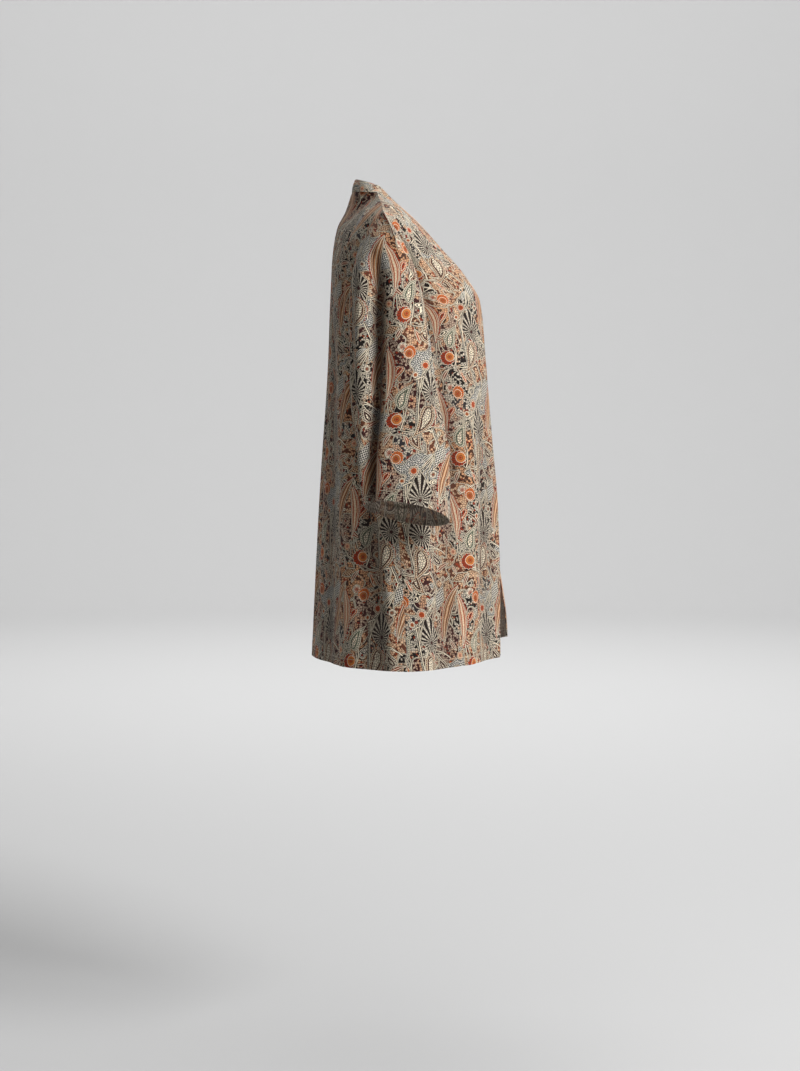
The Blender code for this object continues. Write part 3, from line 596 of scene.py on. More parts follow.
def shifted(creases):
    """The same creases a little to the side and a little softer, for the coat's other half."""
    other = []
    for i, crease in enumerate(creases):
        step = 0.018 if i % 2 else -0.014
        line = tuple((key, share + step) for key, share in crease["line"])
        other.append(dict(crease, line=line, depth=crease["depth"] * (0.80 if i % 3 else 1.15)))
    return other


def sleeve_columns(marks):
    """Shares round the sleeve, closest where its deepest fold lies, with one at every armhole point."""
    shares = []
    for start, end in zip(marks[:-1], marks[1:]):
        count = 3 if end < 0.19 else 1
        shares.extend(np.linspace(start, end, count + 1)[:-1])
    return np.array(shares + [1.0])


def sleeve_moved(u, along, creases):
    u, down = u[None, :], along[:, None]
    moved = sleeve_folds(SLEEVE_FOLDS + creases, u, down)
    length = ARMHOLE_LENGTH + (CUFF_LENGTH - ARMHOLE_LENGTH) * down
    under = np.abs(u - 0.5) * length
    return moved + seam_dip(under, down * SLEEVE_SPAN)


def band_lines(drops, kick):
    """The band's free edge and its seam beside one front edge, from the shoulder down."""
    row = BAND.at(drops)
    free = point(row["w"], row["y"], row["z"])
    seam = front_panel(0.0, drops)
    if kick:
        free, seam = kicked(free, 0, drops), kicked(seam, 0, drops)
    return free, seam


def neck_band_lines():
    """The same lines behind the neck, from the middle of the back to a shoulder seam."""
    share = np.linspace(0, 1, NECK_COLUMNS + 1)
    turn = share * math.pi / 2
    free = point(
        BAND_SIDE[0] * np.sin(turn),
        BAND_SIDE[1] + (BAND_BACK_Y - BAND_SIDE[1]) * np.cos(turn),
        BAND_SIDE[2] + (BAND_BACK_Z - BAND_SIDE[2]) * np.cos(turn),
    )
    return free, neck_seam(share)


def band_grid(drops):
    """The whole band from the right hem round the neck to the left hem, its seam in the first column."""
    mirror = np.array([-1, 1, 1])
    lines = []
    for left, right, neck in zip(band_lines(drops, True), band_lines(drops, False), neck_band_lines()):
        lines.append(np.concatenate([right[::-1] * mirror, neck[::-1][1:] * mirror, neck[1:], left[1:]]))
    free, seam = lines
    return seam[:, None] + BAND_COLUMNS[None, :, None] * (free - seam)[:, None]


def distances(points, axis):
    """The distance travelled along one axis of a grid of points, from its start."""
    steps = np.linalg.norm(np.diff(points, axis=axis), axis=-1)
    start = np.zeros_like(np.take(steps, [0], axis=axis))
    return np.concatenate([start, np.cumsum(steps, axis=axis)], axis=axis)


def body_cloth(grid, start, drops):
    """Places on the flat cloth: across from the start column, rising towards a viewer's right, and up.

    The way up is measured along the start column, and further across it becomes the drop's own."""
    across = distances(grid, 1)
    across = across[:, start : start + 1] - across
    down = distances(grid[:, start : start + 1], 0)
    share = np.clip(np.abs(across) / FRONT_WIDTH, 0, 1)
    up = (down[-1] - down) * (1 - share) + (HEM_DROP - drops)[:, None] * share
    return np.stack([across, up], axis=-1)


def sleeve_cloth(grid, ridge):
    """Places on the flat cloth of a sleeve, measured round level slices from its outer line."""
    heights = np.minimum.accumulate(grid[..., 2], axis=0)
    levels = np.linspace(heights.min(), heights.max(), 110)
    columns = range(grid.shape[1])
    slices = np.stack([drawn_along(levels, heights[::-1, j], grid[::-1, j]) for j in columns], axis=1)
    around = distances(slices, 1)
    around = around[:, ridge : ridge + 1] - around
    slope = distances(grid[:, ridge : ridge + 1], 0)[:, 0]
    rise = np.interp(levels, heights[::-1, ridge], (slope[-1] - slope)[::-1])
    rise = 0.5 * (rise + levels - levels[0])
    across = np.stack([np.interp(heights[:, j], levels, around[:, j]) for j in columns], axis=-1)
    return np.stack([across, np.interp(heights, levels, rise)], axis=-1)


def shell(name, outer, inner, cloth, sewing, material, tube):
    """A closed thin shell of cloth. cloth and sewing say for the material what lies where on it; the third
    number of sewing is the share of painted shade in the folds.
    """
    if tube:
        outer, inner = outer[:, :-1], inner[:, :-1]
    rows, columns = outer.shape[:2]
    count = rows * columns
    wide = cloth.shape[1]
    vertices = np.concatenate([outer.reshape(-1, 3), inner.reshape(-1, 3)])
    i, j = np.meshgrid(np.arange(rows - 1), np.arange(wide - 1), indexing="ij")
    corners = [(i, j), (i, j + 1), (i + 1, j + 1), (i + 1, j)]
    out = np.stack([a * columns + b % columns for a, b in corners], axis=-1).reshape(-1, 4)
    out_at = np.stack([a * wide + b for a, b in corners], axis=-1).reshape(-1, 4)
    rims, rims_at = [], []

    def rim(rows_at, columns_at):
        a = rows_at * columns + columns_at % columns
        at = rows_at * wide + columns_at
        rims.append(np.stack([a[:-1], a[1:], count + a[1:], count + a[:-1]], axis=-1))
        rims_at.append(np.stack([at[:-1], at[1:], at[1:], at[:-1]], axis=-1))

    rim(np.zeros(wide, int), np.arange(wide)[::-1])
    rim(np.full(wide, rows - 1), np.arange(wide))
    if not tube:
        rim(np.arange(rows), np.zeros(rows, int))
        rim(np.arange(rows)[::-1], np.full(rows, wide - 1))
    faces = np.concatenate([out, out[:, ::-1] + count] + rims)
    at = np.concatenate([out_at, out_at[:, ::-1]] + rims_at)
    mesh = bpy.data.meshes.new(name)
    mesh.from_pydata(vertices.tolist(), [], faces.tolist())
    mesh.update()
    flat_cloth = cloth.reshape(-1, 2)[at]
    keep(mesh, "cloth", "CORNER", flat_cloth.reshape(-1, 2))
    keep(mesh, "sewing", "CORNER", sewing.reshape(-1, 3)[at].reshape(-1, 3))
    inside = np.zeros((len(faces), 1))
    inside[len(out) : 2 * len(out)] = 1
    keep(mesh, "inside", "FACE", inside)
    mesh.materials.append(material)
    mesh.shade_smooth()
    mesh.set_sharp_from_angle(angle=math.radians(66))
    piece = bpy.data.objects.new(name, mesh)
    bpy.context.scene.collection.objects.link(piece)
    return piece, flat_cloth.mean(axis=1)


def keep(mesh, name, domain, values):
    """Stores up to three numbers for every corner or face of a mesh."""
    full = np.zeros((len(values), 3), np.float32)
    full[:, : values.shape[1]] = values
    layer = mesh.attributes.new(name, "FLOAT_VECTOR", domain)
    layer.data.foreach_set("vector", full.ravel())


# The print. Its repeat is a tile of these sizes, charted in millimetres: x to the right and y up.
TILE_WIDTH = 154
TILE_HEIGHT = 176
MOTIF_REACH = 7.5  # a motif rules the faces up to this far past its outline, for its teeth and dark line
FIELD_SIZE = 46  # the ground's curved fields, and how far they sway
FIELD_SWAY = 60
MEDAL_RADIUS = 10  # the rounds in the middle of the fields
PEBBLE_SIZE = 3.9
CURL_SIZE = 9.5
HAND_SWAY = 2.6  # how far every drawn line wanders

# Inks, as red, green and blue from 0 to 255
INKS = {
    "black": (27, 20, 18),
    "navy": (50, 46, 48),
    "cream": (236, 222, 196),
    "white": (230, 224, 210),
    "pale": (214, 202, 182),
    "ash": (190, 166, 144),
    "sand": (222, 188, 152),
    "peach": (226, 170, 126),
    "tan": (196, 140, 94),
    "orange": (212, 106, 44),
    "rust": (164, 58, 28),
    "umber": (98, 56, 38),
    "burgundy": (60, 28, 27),
    "gold": (198, 146, 80),
    "grey": (118, 120, 122),
    "sage": (108, 118, 98),
    "brown": (70, 44, 33),
}

YARN = 0.62  # the width of two yarns and of one stitch, in millimetres
STITCH = 3.4
PAINTED_FOLD_SHADE = 0.62  # how much of the painted shade tone the deepest folds take: painted shade darkening the cloth's colour in its folds
# The colour of the painted shade in the folds, a dark brown
PAINTED_SHADE_TONE = (0.030, 0.014, 0.009)
WRONG_SIDE = 0.45  # how far the print fades on the cloth's wrong side
WRONG_SIDE_TONE = (0.30, 0.24, 0.20)

# half_wide is the widest place's. bend bows the middle line sideways, or for a flower is the share by
# which its rings lie off its middle. For a blade or a drop, blunt and sharp shape its two ends. For a
# flower, blunt is the number of lobes and sharp their depth. For a patch, blunt is 1 for a fan and 2 for
# checks. A motif with a higher number in the column "over" lies over one with a lower number.
MOTIF_COLUMNS = "kind x y turn half_long half_wide bend blunt sharp outer middle inner over"
MOTIFS = [
    ("blade", 44, 106, -110, 54, 10.2, -10.0, 0.95, 1.20, "tan", "umber", "cream", 9),
    ("blade", 61, 98, -85, 48, 8.0, 8.0, 1.00, 1.25, "sand", "rust", "cream", 8),
    ("drop", 128, 16, 246, 31, 14.5, 9.0, 0.55, 1.60, "umber", "sand", "cream", 8),
    ("blade", 144, 30, -70, 22, 5.0, 5.0, 0.90, 1.15, "gold", "umber", "cream", 7),
    ("drop", 102, 62, 64, 25, 12.0, 6.5, 0.55, 1.60, "sage", "pale", "cream", 7),
    ("drop", 84, 96, -112, 15, 7.6, -3.5, 0.60, 1.50, "rust", "peach", "cream", 6),
    ("drop", 18, 34, 122, 19, 9.2, 4.5, 0.55, 1.60, "burgundy", "pale", "cream", 6),
    ("drop", 134, 160, -58, 21, 10.0, -5.5, 0.55, 1.60, "umber", "sand", "cream", 6),
    ("drop", 26, 78, 96, 13, 6.6, 3.0, 0.60, 1.50, "grey", "white", "cream", 5),
    ("flower", 86, 20, 200, 14.5, 14.5, 0.30, 13, 0.10, "rust", "orange", "gold", 8),
    ("flower", 100, 134, 60, 12.0, 12.0, 0.22, 15, 0.12, "orange", "rust", "gold", 8),
    ("flower", 86, 142, 0, 8.2, 8.2, 0.0, 5, 0.05, "pale", "rust", "cream", 7),
    ("flower", 130, 112, 20, 9.2, 9.2, 0.0, 9, 0.08, "ash", "rust", "orange", 6),
    ("flower", 58, 38, 0, 7.2, 7.2, 0.0, 7, 0.12, "tan", "orange", "cream", 6),
    ("flower", 10, 106, 0, 6.0, 6.0, 0.0, 6, 0.12, "pale", "sage", "rust", 5),
    ("flower", 30, 168, 0, 6.4, 6.4, 0.0, 7, 0.10, "ash", "burgundy", "cream", 5),
    ("flower", 112, 96, 0, 5.4, 5.4, 0.0, 6, 0.10, "pale", "rust", "gold", 5),
    ("patch", 144, 74, 98, 46, 22.0, 0.0, 1, 0.0, "black", "pale", "burgundy", 4),
    ("patch", 20, 138, 68, 27, 11.5, 0.0, 2, 0.0, "black", "white", "rust", 3),
    ("patch", 66, 170, 20, 20, 8.5, 0.0, 2, 0.0, "umber", "sand", "rust", 2),
    ("blade", 32, 12, 24, 17, 4.4, 3.0, 0.80, 0.90, "rust", "umber", "cream", 5),
    ("blade", 74, 60, -42, 15, 4.0, -2.0, 0.80, 0.90, "rust", "umber", "cream", 4),
    ("blade", 46, 58, 120, 13, 3.6, 2.0, 0.80, 0.90, "burgundy", "rust", "cream", 3),
    ("blade", 112, 160, 118, 14, 4.2, -2.0, 0.80, 0.90, "orange", "rust", "cream", 4),
    ("blade", 150, 132, 40, 12, 3.6, 2.0, 0.80, 0.90, "sage", "navy", "white", 3),
    ("blade", 80, 164, 62, 13, 4.0, 2.0, 0.80, 0.90, "rust", "burgundy", "cream", 3),
    ("blade", 4, 62, -30, 11, 3.2, 1.5, 0.80, 0.90, "rust", "umber", "cream", 3),
    ("blade", 58, 8, -66, 10, 3.0, -1.5, 0.80, 0.90, "orange", "rust", "cream", 3),
]

# Plumes are bundles of arcs that part from one point: its place, their heading and length, and the
# tightest arc's radius, which is negative for a bundle that curls clockwise.
PLUME_COLUMNS = "x y heading long radius arcs"
PLUMES = [
    (60, 152, -84, 26, 60, 2),
    (122, 52, 96, 60, -52, 4),
    (76, 86, 250, 72, 60, 4),
    (14, 156, 262, 62, -56, 4),
    (98, 4, 66, 46, 42, 2),
    (38, 36, 140, 50, 44, 2),
    (114, 88, 30, 40, -38, 2),
    (150, 4, 196, 56, -64, 2),
]

ARC_RADII = (1, 1.5, 2.6, 6.0)  # each arc's radius as a share of the tightest one's
ARC_LENGTHS = (0.80, 1.0, 0.92, 0.66)

# Straight lines between plain grounds, each with a dotted line beside it.
LINE_COLUMNS = "x y end_x end_y"
LINES = [
    (118, 88, 170, 150),
    (118, 88, 128, -2),
    (170, 150, 152, 182),
    (128, -2, 170, 36),
    (4, 14, -10, 90),
]


def ink(name):
    """An ink as linear light."""
    values = np.array(INKS[name]) / 255
    return np.where(values <= 0.04045, values / 12.92, ((values + 0.055) / 1.055) ** 2.4)


def widest(blunt, sharp):
    """The largest value of the outline (1 + x)**blunt * (1 - x)**sharp."""
    x = (blunt - sharp) / (blunt + sharp)
    return (1 + x) ** blunt * (1 - x) ** sharp


def nearest_repeat(places, x, y):
    """From each place to the nearest repeat of a point of the tile."""
    size = np.array([TILE_WIDTH, TILE_HEIGHT])
    return (places - np.array([x, y]) + size / 2) % size - size / 2


def repeats_round(places, x, y):
    """From each place to the nearest repeat of a point of the tile, and to the eight round that one."""
    nearest = nearest_repeat(places, x, y)
    for step_x in (-1, 0, 1):
        for step_y in (-1, 0, 1):
            yield nearest + np.array([step_x * TILE_WIDTH, step_y * TILE_HEIGHT])


def print_motifs(mesh, places):
    """Gives every face the motif, the two arcs and the straight line on it or nearest to it."""
    count = len(places)
    best = np.full(count, -MOTIF_REACH)
    centre, form, shape = np.zeros((3, count, 3))
    inks = np.zeros((3, count, 3))
    kinds = ("blade", "drop", "flower", "patch")
    for m in named(MOTIF_COLUMNS, MOTIFS):
        away = nearest_repeat(places, m["x"], m["y"])
        turn = math.radians(m["turn"])
        x = away[:, 0] * math.cos(turn) + away[:, 1] * math.sin(turn)
        y = away[:, 1] * math.cos(turn) - away[:, 0] * math.sin(turn)
        share = np.clip(x / m["half_long"], -0.999, 0.999)
        past = np.maximum(np.abs(x) - m["half_long"], 0)
        half_wide = m["half_wide"]
        if m["kind"] in ("blade", "drop"):
            half_wide = half_wide / widest(m["blunt"], m["sharp"])
            outline = half_wide * (1 + share) ** m["blunt"] * (1 - share) ** m["sharp"]
            depth = outline - np.abs(y - m["bend"] * (1 - share**2)) - past
        elif m["kind"] == "flower":
            depth = m["half_long"] - np.hypot(x, y)
        else:
            depth = (1 - np.abs(x) / m["half_long"] - np.abs(y) / half_wide) * half_wide * 0.9
        score = np.where(depth > -2.0, depth.clip(-2, 2) + m["over"] * 10, depth)
        won = score > best
        best[won] = score[won]
        centre[won] = np.column_stack([places - away, np.full(count, turn)])[won]
        form[won] = (m["half_long"], half_wide, kinds.index(m["kind"]) + 1)
        shape[won] = (m["bend"], m["blunt"], m["sharp"])
        for k, part in enumerate(("outer", "middle", "inner")):
            inks[k][won] = ink(m[part])
    names = ("centre", "form", "shape", "outer", "middle", "inner")
    for part, values in zip(names, (centre, form, shape, *inks)):
        keep(mesh, "motif_" + part, "FACE", values)

    apart, centre, reach = arcs_near(places)
    order = np.argsort(apart, axis=0)[:2]
    for rank, which in zip(("near", "next"), order):
        keep(mesh, "arc_" + rank, "FACE", centre[which, np.arange(count)])
        keep(mesh, "arc_reach_" + rank, "FACE", reach[which, np.arange(count)])

    best = np.full(count, 9.0)
    starts, ends = np.full((2, count, 3), -900.0)
    for line in named(LINE_COLUMNS, LINES):
        run = np.array([line["end_x"] - line["x"], line["end_y"] - line["y"]])
        for away in repeats_round(places, line["x"], line["y"]):
            share = np.clip(away @ run / (run @ run), 0, 1)
            apart = np.linalg.norm(away - share[:, None] * run, axis=1)
            won = apart < best
            best[won] = apart[won]
            starts[won, :2] = (places - away)[won]
            ends[won, :2] = (places - away + run)[won]
    keep(mesh, "line_start", "FACE", starts)
    keep(mesh, "line_end", "FACE", ends)


def plume_arcs():
    """Every arc of the plumes: its middle, radius, and the angles it runs from and to, in radians."""
    arcs = []
    for plume in named(PLUME_COLUMNS, PLUMES):
        heading = math.radians(plume["heading"])
        way = math.copysign(1, plume["radius"])
        for k in range(plume["arcs"]):
            radius = abs(plume["radius"]) * ARC_RADII[k]
            long = plume["long"] * ARC_LENGTHS[k]
            x = plume["x"] - way * radius * math.sin(heading)
            y = plume["y"] + way * radius * math.cos(heading)
            start = heading - way * math.pi / 2
            arcs.append((x, y, radius, start, start + way * long / radius))
    return arcs


def arcs_near(places):
    """For every arc and place: how far apart they are, the arc's middle and radius, and its reach."""
    apart, centre, reach = [], [], []
    for x, y, radius, start, end in plume_arcs():
        half, middle = abs(end - start) / 2, (start + end) / 2
        best = np.full(len(places), 99.0)
        best_centre = np.zeros((len(places), 3))
        for away in repeats_round(places, x, y):
            angle = (np.arctan2(away[:, 1], away[:, 0]) - middle + math.pi) % (2 * math.pi) - math.pi
            past = np.maximum(np.abs(angle) - half, 0) * radius
            far = np.abs(np.hypot(away[:, 0], away[:, 1]) - radius) + past
            won = far < best
            best[won] = far[won]
            best_centre[won] = np.column_stack([places - away, np.full(len(places), radius)])[won]
        apart.append(best)
        centre.append(best_centre)
        reach.append(np.broadcast_to((middle, half, start), best_centre.shape))
    return np.array(apart), np.array(centre), np.array(reach)


class Field:
    """A number at each point of the surface: a socket of the material's nodes, or a constant."""

    def __init__(self, tree, socket):
        self.tree, self.socket = tree, socket

    def math(self, operation, *others):
        return calculated(self.tree, operation, self, *others)

    def __add__(self, other):
        return self.math("ADD", other)

    def __sub__(self, other):
        return self.math("SUBTRACT", other)

    def __rsub__(self, other):
        return calculated(self.tree, "SUBTRACT", other, self)

    def __mul__(self, other):
        return self.math("MULTIPLY", other)

    def __truediv__(self, other):
        return self.math("DIVIDE", other)

    def sine(self):
        return self.math("SINE")

    def cosine(self):
        return self.math("COSINE")

    def size(self):
        return self.math("ABSOLUTE")

    def power(self, other):
        return self.math("POWER", other)

    def over(self, other):
        return self.math("GREATER_THAN", other)

    def under(self, other):
        return self.math("LESS_THAN", other)

    def least(self, other):
        return self.math("MINIMUM", other)

    def most(self, other):
        return self.math("MAXIMUM", other)

    def part(self):
        return self.math("FRACT")

    def ease(self, low, high):
        """0 below low, 1 above high and smooth between them."""
        node = self.tree.nodes.new("ShaderNodeMapRange")
        node.interpolation_type = "SMOOTHSTEP"
        plug(self.tree, node.inputs["Value"], self)
        node.inputs["From Min"].default_value = low
        node.inputs["From Max"].default_value = high
        return Field(self.tree, node.outputs[0])

    def line(self, low, high, soft=0.25):
        """1 between low and high, with soft edges."""
        return self.ease(low - soft, low + soft) - self.ease(high - soft, high + soft)


def calculated(tree, operation, *values):
    node = tree.nodes.new("ShaderNodeMath")
    node.operation = operation
    for entry, value in zip(node.inputs, values):
        plug(tree, entry, value)
    return Field(tree, node.outputs[0])


def hypotenuse(x, y):
    return (x * x + y * y).math("SQRT")


def plug(tree, entry, value):
    if isinstance(value, Field):
        tree.links.new(value.socket, entry)
    elif isinstance(value, bpy.types.NodeSocket):
        tree.links.new(value, entry)
    else:
        entry.default_value = value


def attribute(tree, name):
    node = tree.nodes.new("ShaderNodeAttribute")
    node.attribute_type = "GEOMETRY"
    node.attribute_name = name
    return node.outputs["Vector"]


def parts(tree, vector):
    node = tree.nodes.new("ShaderNodeSeparateXYZ")
    tree.links.new(vector, node.inputs[0])
    return [Field(tree, socket) for socket in node.outputs]


def joined(tree, x, y, z=0.0):
    node = tree.nodes.new("ShaderNodeCombineXYZ")
    for entry, value in zip(node.inputs, (x, y, z)):
        plug(tree, entry, value)
    return node.outputs[0]


def mixed(tree, share, first, second):
    """first where share is 0 and second where it is 1. Colours are sockets or linear triples."""
    node = tree.nodes.new("ShaderNodeMix")
    node.data_type = "RGBA"
    plug(tree, node.inputs[0], share)
    for entry, value in zip((node.inputs[6], node.inputs[7]), (first, second)):
        plug(tree, entry, value if isinstance(value, bpy.types.NodeSocket) else (*value, 1))
    return node.outputs[2]


def choose(tree, share, first, second):
    node = tree.nodes.new("ShaderNodeMix")
    node.data_type = "FLOAT"
    for entry, value in zip((node.inputs[0], node.inputs[2], node.inputs[3]), (share, first, second)):
        plug(tree, entry, value)
    return Field(tree, node.outputs[0])


def noise(tree, vector, scale, detail, colour=False):
    """A cloudy field, or with colour three of them."""
    node = tree.nodes.new("ShaderNodeTexNoise")
    node.noise_dimensions = "2D"
    tree.links.new(vector, node.inputs["Vector"])
    node.inputs["Scale"].default_value = scale
    node.inputs["Detail"].default_value = detail
    return parts(tree, node.outputs["Color"]) if colour else Field(tree, node.outputs[0])


def cells(tree, vector, size, feature="F1"):
    node = tree.nodes.new("ShaderNodeTexVoronoi")
    node.voronoi_dimensions = "2D"
    node.feature = feature
    tree.links.new(vector, node.inputs["Vector"])
    node.inputs["Scale"].default_value = 1 / size
    return node


def to_edge(tree, vector, size):
    """How far each point lies from the edge of its cell, as a share of the cells' size."""
    return Field(tree, cells(tree, vector, size, "DISTANCE_TO_EDGE").outputs["Distance"])


def ramp(tree, value, stops):
    """Inks in steps: each from its place on, up to the next one's."""
    node = tree.nodes.new("ShaderNodeValToRGB")
    node.color_ramp.interpolation = "CONSTANT"
    plug(tree, node.inputs[0], value)
    stops = list(stops)
    while len(node.color_ramp.elements) < len(stops):
        node.color_ramp.elements.new(0.5)
    for element, (place, colour) in zip(node.color_ramp.elements, stops):
        element.position = place
        element.color = (*ink(colour), 1)
    return node.outputs[0]


def ground(tree, place):
    """The print's ground: curved fields of small pebbles. Returns its colour and where the pebbles are."""
    x, y, _ = parts(tree, place)
    bow = noise(tree, place, 0.024, 1, colour=True)
    bent = joined(tree, x + (bow[0] - 0.5) * FIELD_SWAY, y + (bow[1] - 0.5) * FIELD_SWAY)
    fields = cells(tree, bent, FIELD_SIZE)
    kind, other, third = parts(tree, fields.outputs["Color"])
    border = to_edge(tree, bent, FIELD_SIZE) * FIELD_SIZE
    heart = Field(tree, fields.outputs["Distance"]) * FIELD_SIZE
    medal = other.over(0.45)
    within = heart.under(MEDAL_RADIUS) * medal
    kind = choose(tree, within, kind, third)

    starts = (0, 0.24, 0.46, 0.68, 0.80)
    light = ramp(tree, kind, zip(starts, ("pale", "sand", "ash", "pale", "peach")))
    dark = ramp(tree, kind, zip(starts, ("black", "umber", "burgundy", "navy", "brown")))
    tint = noise(tree, place, 0.05, 1)
    light = mixed(tree, tint.ease(0.52, 0.66) * 0.7, light, ink("peach"))

    pebbles = cells(tree, place, PEBBLE_SIZE)
    chance, chance_two, _ = parts(tree, pebbles.outputs["Color"])
    body = to_edge(tree, place, PEBBLE_SIZE).ease(0.07, 0.15)
    loose = noise(tree, place, 0.060, 2)
    lit = body * (chance - loose * 0.9 + 0.24).ease(0.02, 0.10) * (chance_two * 0.40 + 0.66)
    accent = ramp(tree, chance_two, [(0, "rust"), (0.35, "orange"), (0.6, "burgundy"), (0.8, "gold")])
    few = (chance - chance_two).over(0.60) * tint.over(0.44)
    speckle = mixed(tree, lit, dark, mixed(tree, few, light, accent))

    curls = cells(tree, place, CURL_SIZE)
    x_curl, y_curl, _ = parts(tree, curls.outputs["Position"])
    x_off, y_off = x - x_curl, y - y_curl
    far = hypotenuse(x_off, y_off)
    wind = (far * 2.1 + y_off.math("ARCTAN2", x_off)).sine()
    scroll = mixed(tree, wind.ease(-0.45, -0.05), ink("black"), mixed(tree, body, ink("grey"), ink("white")))
    drawn = mixed(tree, kind.over(0.90), speckle, scroll)

    # Outlines of the fields and of the rounds within them
    ring = (heart - MEDAL_RADIUS).size() + (1.0 - medal) * 20.0
    near = border.least(ring)
    drawn = mixed(tree, near.under(1.6), drawn, ink("black"))
    drawn = mixed(tree, near.line(2.9, 3.4, 0.1) * third.over(0.5), drawn, ink("black"))
    return mixed(tree, near.line(0.30, 1.00, 0.1), drawn, ink("cream")), body


def arcs(tree, x, y, drawn):
    """The plumes' arcs: cream lines that thin away, on a dark bed."""
    for layer in ("next", "near"):
        centre = parts(tree, attribute(tree, "arc_" + layer))
        middle, half, start = parts(tree, attribute(tree, "arc_reach_" + layer))
        x_off, y_off = x - centre[0], y - centre[1]
        off = (hypotenuse(x_off, y_off) - centre[2]).size()
        angle = (y_off.math("ARCTAN2", x_off) - middle).math("WRAP", math.pi, -math.pi)
        on = (angle.size() - half).under(0.0) * centre[2].over(1.0)
        turned = (angle + middle - start).math("WRAP", math.pi, -math.pi).size()
        thin = turned / (half * 2.0).most(0.01) * -0.55 + 0.95
        drawn = mixed(tree, (off - thin).under(0.75) * on, drawn, ink("black"))
        drawn = mixed(tree, (off - thin).under(0.0) * on, drawn, ink("cream"))
    return drawn


def straight_lines(tree, x, y, drawn):
    start = parts(tree, attribute(tree, "line_start"))
    end = parts(tree, attribute(tree, "line_end"))
    run_x, run_y = end[0] - start[0], end[1] - start[1]
    x_off, y_off = x - start[0], y - start[1]
    length = hypotenuse(run_x, run_y).most(0.01)
    along = (x_off * run_x + y_off * run_y) / length
    off = (x_off * run_y - y_off * run_x) / length
    on = along.over(-0.5) * (along - length).under(0.5) * length.over(1.0)
    dots = (along / 2.6).part().line(0.12, 0.72, 0.06)
    drawn = mixed(tree, off.line(-1.3, 4.6, 0.1) * on, drawn, ink("black"))
    drawn = mixed(tree, off.line(2.0, 3.8, 0.15) * dots * on, drawn, ink("pale"))
    return mixed(tree, off.size().under(0.75) * on, drawn, ink("cream"))


